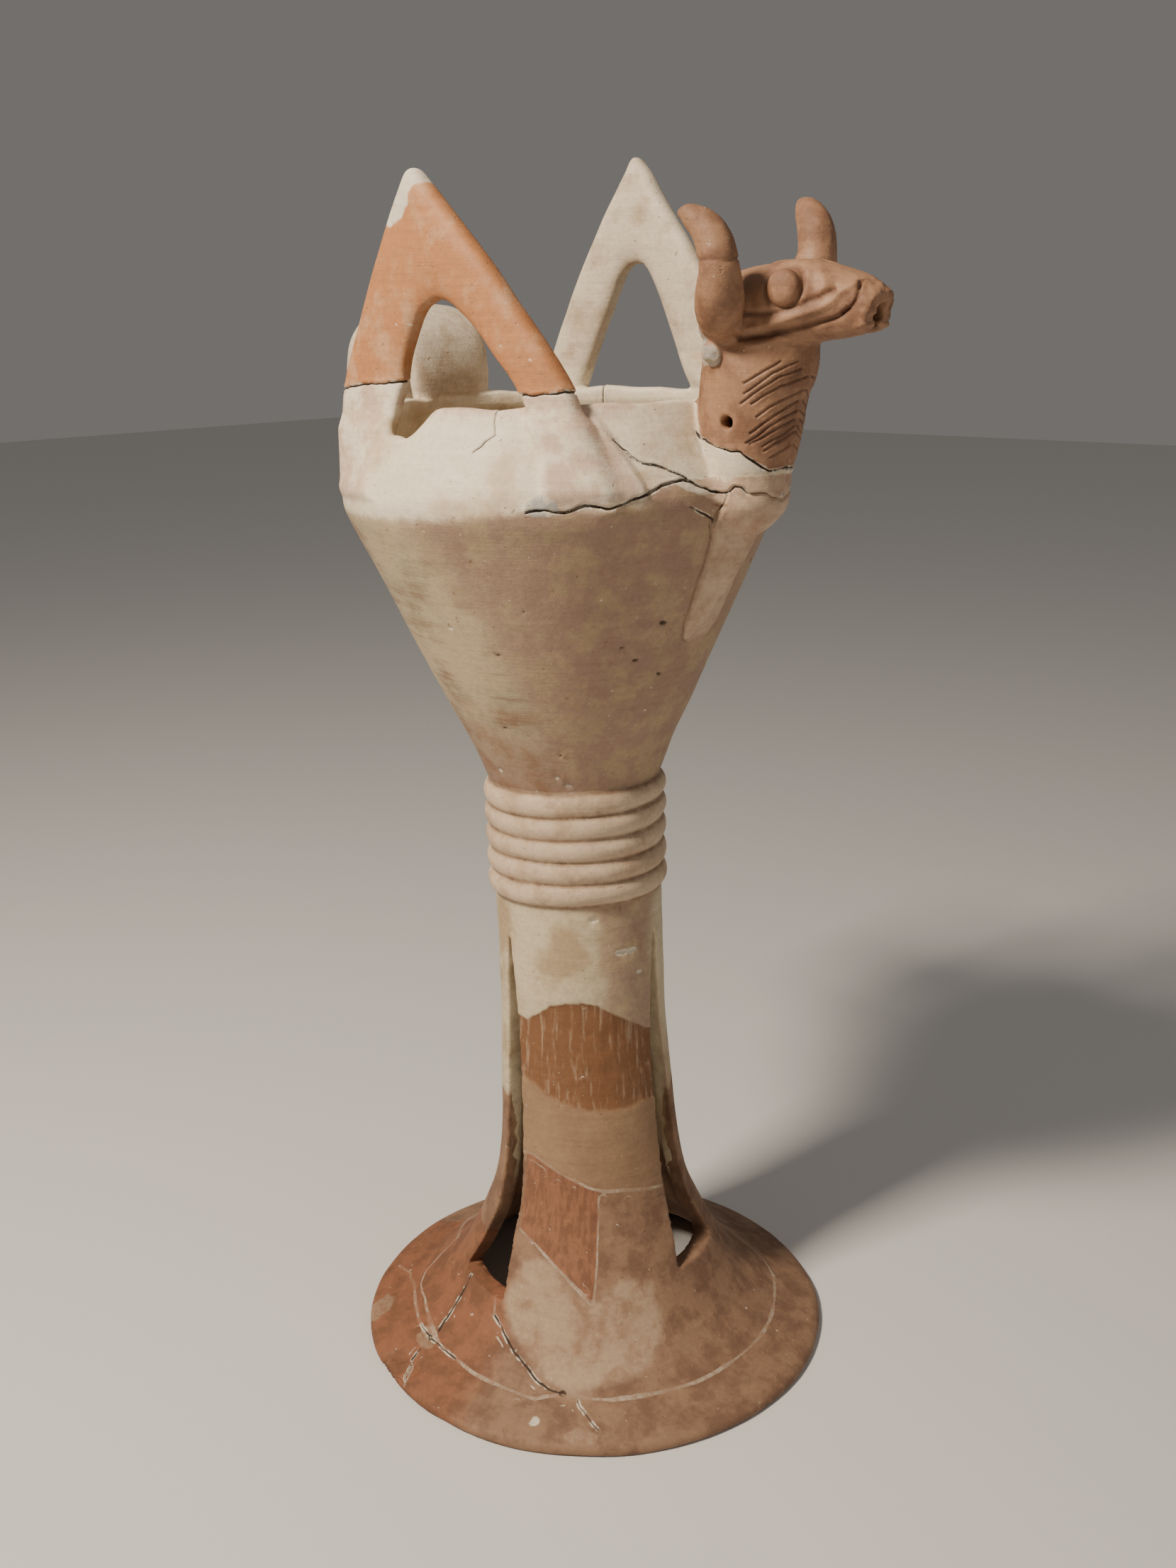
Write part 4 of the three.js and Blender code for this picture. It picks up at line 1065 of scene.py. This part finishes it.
def bull_edge(form, p, off):
    """How far points are above the joint at the bull's neck, and below 0 off the bull."""
    joint = np.interp(p[:, 0], [88, 90.3, 92.5, 95.6, 100.5, 108.6, 115.7, 117.5, 119.6, 122, 123.4, 126],
                      [492, 487, 482.4, 480.2, 478.5, 475.5, 474.2, 472, 470, 467.5, 465.7, 466.4])
    stands = np.where(p[:, 2] > form.mouth - 3, 9, off - 1.2)
    edge = np.minimum(p[:, 2] - joint, stands)
    return np.where((p[:, 0] > 87) & (np.abs(p[:, 1]) < 58), edge, AWAY)


def ear_fill(p):
    """How far points are inside the rough plaster behind the near cheek, and below 0 outside it."""
    edge = np.full(len(p), AWAY)
    for place, radius in EAR_PLASTER:
        edge = np.maximum(edge, radius - np.linalg.norm(p - np.array(place), axis=1))
    return edge + 1.2 * cloud(p, 4.0, 16)


def near_horn(p):
    """True on the near horn."""
    return (p[:, 1] < -28) & (p[:, 0] > 95) & (p[:, 2] > 530)


def horn_break(p):
    """Height above the mended break across the near horn."""
    return p[:, 2] - 552.4 - 0.8 * cloud(p, 4.0, 12)


def finishes(form, wall, p, n):
    """Values over the surface for the material: distances in millimetres to the edges of each finish, and lines."""
    turn, off = wall.read(p)
    z = p[:, 2]
    outside = off > -4
    across, width, _ = crack_field(wall, p, n, turn, off)
    seam = np.full(len(p), 6.0)
    seam_width = np.zeros(len(p))
    for points, half, _ in SEAMS:
        a, on = line_reach(p, n, wall_line(wall, points), 6.0)
        closer = (np.abs(a) < np.abs(seam)) & (on > 0) & (off > -2.5) & ((off < 4) | (len(points[0]) == 3))
        seam = np.where(closer, a, seam)
        spread = half * (0.8 + 0.5 * cloud(p, 9.0, 51)) * on * (1 - smoothstep(2.0, 3.4, np.abs(a)))
        seam_width = np.where(closer, spread, seam_width)

    def where(there, value):
        return np.where(there, value, AWAY)

    def patch(outline, there=outside):
        return where(there, inside(wall, turn, z, outline))

    between_handles = np.abs(p[:, 0]) < 92
    far_side = where((p[:, 1] > 42) & between_handles, z - (512 + 4 * np.sin(p[:, 0] / 17)))
    strap = where((p[:, 0] < -68) & (np.abs(p[:, 1] - 10) < 42), np.maximum(off - 1.6, z - form.mouth - 1))
    stubs = [patch(outline, off > -3) for outline in LEG_FEET]
    stubs.append(where((p[:, 1] < -42) & between_handles, z - form.mouth + 6))
    fills = np.max([inside(wall, turn, z, outline) for outline in WHITE_FILLS], axis=0)
    chips, _ = spot_field(wall, p, CHIPS)
    pits, _ = spot_field(wall, p, PITS)
    # Painted shade darkens the lines of the bull, the break of the horn, the hollows between the ribs and beside the
    # keel
    gap, share = throat_lines(p, n)
    painted_groove_shade = 0.9 * share * ridge(gap, 0.5)
    head = head_side(p)
    for line, _, rise in HEAD_LINES:
        if rise < 0:
            a, on = side_line(p, line)
            painted_groove_shade = np.maximum(painted_groove_shade, head * on * ridge(a, 1.3))
    painted_groove_shade = np.maximum(painted_groove_shade, head * (np.abs(p[:, 1]) > 8) * 0.8 * ridge(eye_gap(p) - EYE_RING, 0.8))
    painted_groove_shade = np.maximum(painted_groove_shade, near_horn(p) * ridge(horn_break(p), 0.6))
    rib = (z - form.ribs_bottom) / form.rib_pitch
    valley = np.abs(rib - np.clip(np.round(rib), 0, 5)) * form.rib_pitch
    painted_groove_shade = np.maximum(painted_groove_shade, outside * ridge(valley, 1.1))
    face = inside(wall, turn, z, KEEL_FACE)
    painted_groove_shade = np.maximum(painted_groove_shade, 0.6 * (off > -3) * ((z > 386) & (z < 452)) * ridge(face + 0.7, 0.7))
    dark = np.linalg.norm((p - wall.place([-22], [405])[0]) * (1, 1, 0.6), axis=1)
    return {
        "slip": above(turn, z, SLIP_EDGE),
        "ribs": where(outside, np.minimum(z - form.ribs_bottom + 1, form.ribs_top + 1 - z)),
        "stem": np.where(outside, form.ribs_bottom - 1 - z, form.ribs_top - 20 - z),
        # Painted shade: a lilac band on the side turned from the key lamp, widening above and below the stem's middle
        "painted_side_shade": where(outside, 14 - np.abs((turn + 14) * 0.75) + 0.2 * np.abs(z - 225)),
        "patch": where(outside, -above(turn, z, PATCH_TOP)),
        "panel": where(outside, -above(turn, z, PATCH_BOTTOM)),
        "foot": np.where(outside, -above(turn, z, PANEL_BOTTOM), 90 - z),
        "red": where((z < 60) & (turn < -30), (-86 - turn) * 1.6 - 0.9 * np.maximum(z - 30, 0)),
        "sherd": patch(ORANGE_SHERD),
        "cream": patch(CREAM_PATCH),
        "orange": near_leg_crack(p),
        "plaster": np.maximum(far_side, strap),
        "point": where((p[:, 1] < -42) & (z > 540), within(p[:, [0, 2]], POINT_FILL)),
        "bull": bull_edge(form, p, off),
        "grey": patch(GREY_FILL),
        "white": np.maximum(where(outside & (z > 60), fills), 2.4 * chips),
        "mend": where(outside & (z < 60), fills),
        "pit": 2.0 * pits,
        # A smoked place beside the keel, and darker towards the bottom of the bowl
        "fire_cloud_and_low_dark": np.maximum(50 - dark, 342 - z),
        "keel": patch(KEEL_FACE, (off > -3) & (z < 464)),
        "stub": np.maximum.reduce(stubs),
        "lump": ear_fill(p),
        "crack": across,
        "crack_width": width,
        "seam": seam,
        "seam_width": seam_width,
        "painted_groove_shade": painted_groove_shade,
    }


def soften(form, vessel):
    """Softens the turn and blends the handles' feet, the neck and the keel into the wall."""
    p = points_of(vessel)
    turn = np.degrees(np.arctan2(p[:, 1], p[:, 0]))
    neck = np.abs(turn) < 24
    lower = np.where(neck, form.turn, form.turn - 13)
    upper = np.where(neck, form.turn + 14, form.mouth - 3)
    share = band(p[:, 2], lower, lower + 9, upper - 9, upper) * np.where(neck, 0.3, 1.0)
    group = vessel.vertex_groups.new(name="soft")
    for level in range(1, 11):
        chosen = np.nonzero(np.round(share * 10).astype(int) == level)[0]
        if len(chosen):
            group.add(chosen.tolist(), level / 10, "REPLACE")
    apply_modifier(vessel, "SMOOTH", factor=0.5, iterations=60, vertex_group=group.name)
    vessel.vertex_groups.clear()


def finer(wall, vessel):
    """Divides the faces near the cracks, the throat's lines and the head once more."""
    keep = needs_detail(wall, points_of(vessel), normals_of(vessel))
    data = vessel.data
    corner = np.empty(len(data.loops), np.int32)
    data.loops.foreach_get("vertex_index", corner)
    start = np.empty(len(data.polygons), np.int32)
    data.polygons.foreach_get("loop_start", start)
    only(vessel)
    bpy.ops.object.mode_set(mode="EDIT")
    bpy.ops.mesh.select_mode(type="FACE")
    bpy.ops.mesh.select_all(action="DESELECT")
    bpy.ops.object.mode_set(mode="OBJECT")
    data.polygons.foreach_set("select", np.logical_or.reduceat(keep[corner], start))
    bpy.ops.object.mode_set(mode="EDIT")
    bpy.ops.mesh.subdivide(number_cuts=1)
    bpy.ops.object.mode_set(mode="OBJECT")


def leaned(form, p):
    """Points of the vessel, leaned back above its flat foot."""
    share = np.clip((p[:, 2] - form.foot_edge) / form.flare_height, 0, 1)
    angle = form.lean * share
    x = p[:, 0] * np.cos(angle) - p[:, 2] * np.sin(angle)
    z = p[:, 2] * np.cos(angle) + p[:, 0] * np.sin(angle)
    return np.column_stack([x, p[:, 1], z])


def foot_middle():
    """How far along X the foot's middle lies in the frame, from the solid's resting ring."""
    solid = points_of(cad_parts["fruit_stand"])
    ring = solid[solid[:, 2] < 0.5, 0]
    return 0.5 * (ring.min() + ring.max())


# ---------------------------------------------------------------- material


def put(tree, socket, value):
    """Links a socket to another, or sets its value."""
    if isinstance(value, bpy.types.NodeSocket):
        tree.links.new(value, socket)
    elif value is not None:
        socket.default_value = (*value, 1.0) if socket.type == "RGBA" and len(value) == 3 else value


def maths(tree, operation, *values):
    """A maths node's result."""
    node = tree.nodes.new("ShaderNodeMath")
    node.operation = operation
    for socket, value in zip(node.inputs, values):
        put(tree, socket, value)
    return node.outputs[0]


def remap(tree, value, low, high, to_low=0.0, to_high=1.0, smooth=True):
    """A value moved from one range to another, softly or in a straight line."""
    node = tree.nodes.new("ShaderNodeMapRange")
    node.interpolation_type = "SMOOTHSTEP" if smooth else "LINEAR"
    for socket, entry in zip(node.inputs, (value, low, high, to_low, to_high)):
        put(tree, socket, entry)
    return node.outputs[0]


def blended(tree, share, under, over, kind="MIX"):
    """Two colours blended by a share."""
    node = tree.nodes.new("ShaderNodeMix")
    node.data_type = "RGBA"
    node.blend_type = kind
    put(tree, node.inputs[0], share)
    put(tree, node.inputs[6], under)
    put(tree, node.inputs[7], over)
    return node.outputs[2]


def speckle(tree, place, size, detail=3.0, rough=0.5, stretch=(1, 1, 1)):
    """Noise with spots of about a size in millimetres, stretched along the axes."""
    scale = tree.nodes.new("ShaderNodeVectorMath")
    scale.operation = "MULTIPLY"
    put(tree, scale.inputs[0], place)
    scale.inputs[1].default_value = [a / size for a in stretch]
    node = tree.nodes.new("ShaderNodeTexNoise")
    put(tree, node.inputs["Vector"], scale.outputs[0])
    node.inputs["Scale"].default_value = 1.0
    node.inputs["Detail"].default_value = detail
    node.inputs["Roughness"].default_value = rough
    return node.outputs["Fac"]


def over_surface(tree, name):
    """A value that is kept over the surface."""
    node = tree.nodes.new("ShaderNodeAttribute")
    node.attribute_name = name
    return node.outputs["Fac"]


def new_group(name, inputs, outputs):
    """A shader node group with named inputs and outputs."""
    tree = bpy.data.node_groups.new(name, "ShaderNodeTree")
    for direction, sockets in (("INPUT", inputs), ("OUTPUT", outputs)):
        for label, kind in sockets:
            tree.interface.new_socket(label, in_out=direction, socket_type="NodeSocket" + kind)
    start, end = tree.nodes.new("NodeGroupInput"), tree.nodes.new("NodeGroupOutput")
    return tree, start.outputs, end.inputs


def zone_mask_group():
    """Turns a distance to a finish's edge into a mask with a wandering, soft edge."""
    names = [("Distance", "Float"), ("Noise", "Float"), ("Wobble", "Float"), ("Softness", "Float")]
    tree, given, result = new_group("zone_mask", names, [("Mask", "Float")])
    wander = maths(tree, "MULTIPLY", maths(tree, "SUBTRACT", given["Noise"], 0.5), given["Wobble"])
    moved = maths(tree, "ADD", given["Distance"], wander)
    low = maths(tree, "MULTIPLY", given["Softness"], -1.0)
    put(tree, result["Mask"], remap(tree, moved, low, given["Softness"]))
    return tree


def mottle_group():
    """Lays a finish of two colours over another: noise picks between the two, and a mask says where it lies."""
    names = [("Under", "Color"), ("Light", "Color"), ("Dark", "Color"), ("Noise", "Float"), ("Low", "Float"),
             ("High", "Float"), ("Mask", "Float")]
    tree, given, result = new_group("mottled_finish", names, [("Color", "Color")])
    share = remap(tree, given["Noise"], given["Low"], given["High"])
    finish = blended(tree, share, given["Light"], given["Dark"])
    put(tree, result["Color"], blended(tree, given["Mask"], given["Under"], finish))
    return tree


def line_mask_group():
    """Turns a distance across a line and its half width into a mask with an uneven edge."""
    names = [("Across", "Float"), ("Half Width", "Float"), ("Noise", "Float"), ("Spread", "Float")]
    tree, given, result = new_group("line_mask", names, [("Mask", "Float")])
    wander = maths(tree, "MULTIPLY", maths(tree, "SUBTRACT", given["Noise"], 0.5), 1.1)
    apart = maths(tree, "ABSOLUTE", maths(tree, "ADD", given["Across"], wander))
    edge = maths(tree, "ADD", given["Half Width"], given["Spread"])
    inner = maths(tree, "SUBTRACT", edge, 0.22)
    outer = maths(tree, "ADD", edge, 0.22)
    there = maths(tree, "GREATER_THAN", given["Half Width"], 0.04)
    put(tree, result["Mask"], maths(tree, "MULTIPLY", remap(tree, apart, inner, outer, 1.0, 0.0), there))
    return tree


def clay_grain_group():
    """The fired surface's relief: sandy grain, soft lumps, fine wiping marks round the axis and small pits."""
    names = [("Place", "Vector"), ("Grain", "Float"), ("Lumps", "Float"), ("Wiping", "Float"), ("Pits", "Float")]
    tree, given, result = new_group("clay_grain", names, [("Height", "Float"), ("Pit Mask", "Float")])
    grain = maths(tree, "MULTIPLY", speckle(tree, given["Place"], 0.8, 2.0), given["Grain"])
    lumps = maths(tree, "MULTIPLY", speckle(tree, given["Place"], 4.5, 3.0), given["Lumps"])
    wiping = speckle(tree, given["Place"], 1.1, 3.0, 0.6, (0.05, 0.05, 1.0))
    wiping = maths(tree, "MULTIPLY", wiping, given["Wiping"])
    holes = remap(tree, speckle(tree, given["Place"], 2.6, 1.0, 0.4, (0.7, 0.7, 1.2)), 0.74, 0.8)
    total = maths(tree, "ADD", maths(tree, "ADD", grain, lumps), wiping)
    put(tree, result["Height"], maths(tree, "SUBTRACT", total, maths(tree, "MULTIPLY", holes, given["Pits"])))
    put(tree, result["Pit Mask"], holes)
    return tree


def placed(tree, group, **values):
    """A node group placed in a material, with its inputs set by name."""
    node = tree.nodes.new("ShaderNodeGroup")
    node.node_tree = group
    for label, value in values.items():
        put(tree, node.inputs[label.replace("_", " ")], value)
    return node.outputs


# Each finish over the one before: its edge, light and dark colour, noise and the noise's range, and the edge's wander
# and softness
FINISHES = [
    ("foot", "foot", "foot_dark", "middle", 0.38, 0.62, 7, 6),
    ("red", "red", "red_dark", "middle", 0.4, 0.6, 16, 9),
    ("cream", "cream", "foot", "middle", 0.46, 0.7, 7, 3),
    ("slip", "slip", "slip_dark", "broad", 0.45, 0.64, 7, 2.6),
    ("keel", "keel", "keel_dark", "middle", 0.42, 0.66, 1.5, 0.5),
    ("stub", "stub", "slip", "middle", 0.42, 0.64, 9, 4),
    ("plaster", "plaster", "plaster_dark", "middle", 0.46, 0.72, 5, 1.2),
    ("orange", "orange", "orange_pale", "middle", 0.45, 0.66, 0.6, 0.5),
    ("bull", "bull", "bull_dark", "middle", 0.42, 0.64, 1.5, 0.8),
    ("ribs", "ribs", "ribs_dark", "middle", 0.42, 0.68, 1.5, 1.2),
]


def fired_clay():
    """The mended fired clay: pale slip, tan and brown clay, plaster fills, cracks, stains and wear."""
    colours = bpy.context.scene.fruit_bowl_colours
    clay = bpy.data.materials.new("fired_clay")
    clay.use_nodes = True
    tree = clay.node_tree
    shader = tree.nodes["Principled BSDF"]
    zone, mottled, line, grain = zone_mask_group(), mottle_group(), line_mask_group(), clay_grain_group()
    to_mm = tree.nodes.new("ShaderNodeVectorMath")
    to_mm.operation = "SCALE"
    put(tree, to_mm.inputs[0], tree.nodes.new("ShaderNodeTexCoord").outputs["Object"])
    to_mm.inputs["Scale"].default_value = 1000.0
    place = to_mm.outputs[0]
    noise = {
        "broad": speckle(tree, place, 46, 4, 0.6),
        "middle": speckle(tree, place, 15, 5, 0.62),
        "edge": speckle(tree, place, 6, 3, 0.55),
        "fine": speckle(tree, place, 2.4, 4, 0.6),
        "wiped": speckle(tree, place, 3.0, 5, 0.7, (0.06, 0.06, 1.0)),
        "run": speckle(tree, place, 2.6, 4, 0.6, (1.0, 1.0, 0.12)),
    }

    def over(under, mask, light, dark, field="middle", low=0.4, high=0.65):
        return placed(tree, mottled, Under=under, Light=getattr(colours, light), Dark=getattr(colours, dark),
                      Noise=noise[field], Low=low, High=high, Mask=mask)["Color"]

    def mask(name, wobble, softness, field="edge"):
        return placed(tree, zone, Distance=over_surface(tree, name), Noise=noise[field], Wobble=wobble,
                      Softness=softness)["Mask"]

    # The bowl's clay: tan with a greenish bloom, brown-grey stains, a smoked place beside the keel, and darker towards
    # the bottom of the bowl
    colour = blended(tree, remap(tree, noise["broad"], 0.42, 0.62), colours.clay[:], colours.clay_green[:])
    stains = maths(tree, "MULTIPLY", noise["broad"], 0.55)
    stains = maths(tree, "ADD", stains, maths(tree, "MULTIPLY", noise["wiped"], 0.45))
    colour = over(colour, remap(tree, stains, 0.47, 0.62, 0.0, 0.8), "clay_dark", "bull_dark")
    colour = over(colour, maths(tree, "MULTIPLY", mask("fire_cloud_and_low_dark", 44, 26, "middle"), 0.85), "clay_dark", "bull_dark")
    # The stem, its fills, and the rest in the order in which they lie over each other
    colour = over(colour, mask("stem", 4, 3), "stem", "stem_dark", "broad", 0.46, 0.62)
    # Painted shade in lilac-brown on the side turned from the key lamp
    colour = over(colour, maths(tree, "MULTIPLY", mask("painted_side_shade", 22, 7, "middle"), 0.85), "painted_side_shade", "stem_dark", "middle")
    colour = over(colour, mask("patch", 3, 0.9), "patch_pale", "patch", "run", 0.3, 0.5)
    colour = over(colour, mask("panel", 3.5, 1.8), "panel", "panel_dark", "broad")
    for name, light, dark, field, low, high, wobble, softness in FINISHES:
        colour = over(colour, mask(name, wobble, softness), light, dark, field, low, high)
    colour = over(colour, mask("sherd", 1.6, 0.7), "sherd", "sherd_dark", "run", 0.42, 0.6)
    colour = over(colour, mask("point", 3, 0.7), "white", "plaster")
    colour = over(colour, mask("grey", 2, 0.6), "grey", "white", "edge", 0.5, 0.66)
    colour = over(colour, mask("white", 2.4, 0.5), "white", "plaster", "fine")
    colour = over(colour, mask("lump", 1.5, 0.5), "grey", "plaster_dark", "fine")
    colour = over(colour, maths(tree, "MULTIPLY", mask("mend", 3.5, 0.9), 0.6), "cream", "foot", "fine")
    seams = placed(tree, line, Across=over_surface(tree, "seam"), Half_Width=over_surface(tree, "seam_width"),
                   Noise=noise["edge"], Spread=0.0)["Mask"]
    worn = remap(tree, noise["middle"], 0.36, 0.62, 0.1, 0.6)
    colour = over(colour, maths(tree, "MULTIPLY", seams, worn), "plaster", "cream", "fine")
    # Plaster beside the cracks, and painted shade for their depth and for the pits
    split, half = over_surface(tree, "crack"), over_surface(tree, "crack_width")
    beside = placed(tree, line, Across=split, Half_Width=half, Noise=noise["edge"], Spread=0.75)["Mask"]
    beside = maths(tree, "MULTIPLY", beside, remap(tree, noise["edge"], 0.44, 0.58, 0.0, 0.9))
    colour = over(colour, beside, "white", "plaster", "fine")
    deep = placed(tree, line, Across=split, Half_Width=half, Noise=0.5, Spread=-0.1)["Mask"]
    deep = maths(tree, "MAXIMUM", deep, maths(tree, "MULTIPLY", mask("pit", 0.6, 0.5), 0.8))
    # Fine variation everywhere: wiped streaks, dark grit, painted shade in the small pits, pale flecks, and painted
    # shade in the hollows
    relief_nodes = placed(tree, grain, Place=place, Grain=0.35, Lumps=0.5, Wiping=0.3, Pits=0.7)
    streaks = remap(tree, noise["wiped"], 0.3, 0.7, 0.90, 1.06, False)
    tone = remap(tree, noise["fine"], 0.3, 0.7, 0.90, 1.08, False)
    scale = tree.nodes.new("ShaderNodeVectorMath")
    scale.operation = "SCALE"
    put(tree, scale.inputs[0], colour)
    put(tree, scale.inputs["Scale"], maths(tree, "MULTIPLY", streaks, tone))
    colour = scale.outputs[0]
    # Dark grit, and painted shade in the grain's small pits
    grit_and_pit_shade = remap(tree, speckle(tree, place, 1.3, 2, 0.5), 0.69, 0.75, 0.0, 0.5)
    grit_and_pit_shade = maths(tree, "MAXIMUM", grit_and_pit_shade, maths(tree, "MULTIPLY", relief_nodes["Pit Mask"], 0.45))
    colour = blended(tree, grit_and_pit_shade, colour, colours.bull_dark[:])
    flecks = remap(tree, speckle(tree, place, 3.1, 3, 0.6), 0.70, 0.75, 0.0, 0.75)
    colour = blended(tree, flecks, colour, colours.white[:])
    # Painted shade in the grooves, creases and rib hollows, as a brown tint multiplied in
    painted_groove_shade = maths(tree, "MULTIPLY", over_surface(tree, "painted_groove_shade"), remap(tree, noise["edge"], 0.2, 0.7, 0.45, 0.95))
    groove_shade_tint = (0.36, 0.27, 0.2)
    groove_shaded_colour = blended(tree, 1.0, colour, groove_shade_tint, "MULTIPLY")
    colour = blended(tree, painted_groove_shade, colour, groove_shaded_colour)
    # Painted shade: the cracks' depth and the pits made nearly black
    colour = blended(tree, deep, colour, colours.crack[:])
    put(tree, shader.inputs["Base Color"], colour)
    rough = remap(tree, noise["middle"], 0.3, 0.7, 0.60, 0.80, False)
    burnished = maths(tree, "MULTIPLY", mask("slip", 9, 6), 0.1)
    rough = maths(tree, "SUBTRACT", rough, burnished)
    put(tree, shader.inputs["Roughness"], maths(tree, "ADD", rough, maths(tree, "MULTIPLY", noise["fine"], 0.1)))
    bump = tree.nodes.new("ShaderNodeBump")
    bump.inputs["Strength"].default_value = 0.55
    bump.inputs["Distance"].default_value = 0.0006
    put(tree, bump.inputs["Height"], relief_nodes["Height"])
    put(tree, shader.inputs["Normal"], bump.outputs["Normal"])
    return clay


class FRUITBOWL_OT_vessel(bpy.types.Operator):
    """Models the whole vessel as one piece of fired clay"""

    bl_idname = "fruit_bowl.vessel"
    bl_label = "Fired clay vessel"

    def execute(self, context):
        form = Form(sizes())
        lines = Wall(form)
        wall = turned_wall(form)
        for i, bottom in enumerate((53.0, 46.0, 40.0)):
            boolean(wall, window_cutter(form, 10 + 120 * i, bottom), "DIFFERENCE")
        uneven_rim(form, wall)
        added = [
            pointed_handle(form, "near_handle", -89, NEAR_OUTER, NEAR_INNER),
            pointed_handle(form, "far_handle", 91, FAR_OUTER, FAR_INNER),
            strap_handle(form),
            bull(form),
        ]
        for piece in added:
            boolean(piece, bowl_plug(form), "DIFFERENCE")
        vessel = joined(PIECE, [wall] + added)
        apply_modifier(vessel, "REMESH", mode="VOXEL", voxel_size=form.grain * MM, use_smooth_shade=True)
        apply_modifier(vessel, "SMOOTH", factor=0.5, iterations=2)
        soften(form, vessel)
        finer(lines, vessel)
        p, n = points_of(vessel), normals_of(vessel)
        move_to(vessel, p + n * relief(form, lines, p, n)[:, None])
        faces = sum(len(face.vertices) - 2 for face in vessel.data.polygons)
        apply_modifier(vessel, "DECIMATE", ratio=TRIANGLES / faces)
        p, n = points_of(vessel), normals_of(vessel)
        for name, values in finishes(form, lines, p, n).items():
            layer = vessel.data.attributes.new(name, "FLOAT", "POINT")
            layer.data.foreach_set("value", np.asarray(values, np.float32))
        p = leaned(form, p)
        p[:, 0] += foot_middle()
        move_to(vessel, p)
        only(vessel)
        bpy.ops.object.shade_smooth()
        vessel.data.materials.clear()
        vessel.data.materials.append(fired_clay())
        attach(vessel, "root")
        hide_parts("fruit_stand")
        return {"FINISHED"}


class FRUITBOWL_OT_stage(bpy.types.Operator):
    """Adds the pale floor, the lights and the camera"""

    bl_idname = "fruit_bowl.stage"
    bl_label = "Stage"

    def execute(self, context):
        clear_selection()
        bpy.ops.mesh.primitive_plane_add(size=12.0, location=(0, 0, 0))
        floor = named("floor")
        paper = bpy.data.materials.new("pale_floor")
        paper.use_nodes = True
        shader = paper.node_tree.nodes["Principled BSDF"]
        shader.inputs["Base Color"].default_value = (0.78, 0.77, 0.75, 1)
        shader.inputs["Roughness"].default_value = 0.9
        floor.data.materials.append(paper)
        world = bpy.data.worlds.new("studio")
        world.use_nodes = True
        air = world.node_tree.nodes["Background"]
        air.inputs["Color"].default_value = (1.0, 0.95, 0.9, 1)
        air.inputs["Strength"].default_value = 0.17
        context.scene.world = world
        # The camera stands before the vessel's near side, and is tipped down and rolled a little
        eye = np.array([476.085 + foot_middle(), -609.36, 536.43]) * MM
        around, pitch, yaw, roll = (math.radians(a) for a in (38.0, 16.57, -0.11, -0.46))
        forward = np.array([math.sin(yaw) * math.cos(pitch), math.cos(yaw) * math.cos(pitch), -math.sin(pitch)])
        right = np.array([math.cos(yaw), -math.sin(yaw), 0.0])
        up = np.cross(right, forward)
        right, up = math.cos(roll) * right + math.sin(roll) * up, -math.sin(roll) * right + math.cos(roll) * up
        axes = np.array([right, up, -forward]) @ np.array(Matrix.Rotation(around, 3, "Z")).T
        camera = bpy.data.cameras.new("camera")
        camera.sensor_fit = "VERTICAL"
        camera.sensor_height = 36.0
        camera.lens = 2238.4 / 2212 * 36.0
        camera.clip_start = 0.01
        holder = bpy.data.objects.new("camera", camera)
        context.scene.collection.objects.link(holder)
        matrix = np.eye(4)
        matrix[:3, :3] = axes.T
        matrix[:3, 3] = eye
        holder.matrix_world = Matrix(matrix.tolist())
        context.scene.camera = holder
        # A warm lamp high on the left and a weak, broad one on the right
        left, back = -axes[0], axes[2]
        middle = np.array([0.0, 0.0, 0.35])
        for name, place, power, size, tint in (
            ("key", middle + 0.72 * left + 0.6 * back + np.array([0, 0, 0.82]), 28.0, 0.22, (1.0, 0.88, 0.73)),
            ("fill", middle - 1.3 * left + 0.9 * back + np.array([0, 0, 0.3]), 2.2, 1.2, (1.0, 0.93, 0.88)),
        ):
            light = bpy.data.lights.new(name, "AREA")
            light.energy = power
            light.size = size
            light.color = tint
            lamp = bpy.data.objects.new(name, light)
            context.scene.collection.objects.link(lamp)
            lamp.location = place
            lamp.rotation_euler = (Vector(middle) - Vector(place)).to_track_quat("-Z", "Y").to_euler()
        return {"FINISHED"}


class FRUITBOWL_PT_panel(bpy.types.Panel):
    """Lists the steps and sizes of the bowl"""

    bl_idname = "FRUITBOWL_PT_panel"
    bl_label = "Footed fruit bowl"
    bl_space_type = "VIEW_3D"
    bl_region_type = "UI"
    bl_category = "Fruit bowl"

    def draw(self, context):
        for group in (context.scene.fruit_bowl_sizes, context.scene.fruit_bowl_colours):
            for name in type(group).__annotations__:
                self.layout.prop(group, name)
        self.layout.operator(FRUITBOWL_OT_vessel.bl_idname)
        self.layout.operator(FRUITBOWL_OT_stage.bl_idname)


CLASSES = (FruitBowlSizes, FruitBowlColours, FRUITBOWL_OT_vessel, FRUITBOWL_OT_stage, FRUITBOWL_PT_panel)


def register():
    for cls in CLASSES:
        bpy.utils.register_class(cls)
    bpy.types.Scene.fruit_bowl_sizes = PointerProperty(type=FruitBowlSizes)
    bpy.types.Scene.fruit_bowl_colours = PointerProperty(type=FruitBowlColours)


def unregister():
    del bpy.types.Scene.fruit_bowl_colours
    del bpy.types.Scene.fruit_bowl_sizes
    for cls in reversed(CLASSES):
        bpy.utils.unregister_class(cls)


def main():
    register()
    bpy.ops.fruit_bowl.vessel()
    bpy.ops.fruit_bowl.stage()


if __name__ == "__main__":
    main()
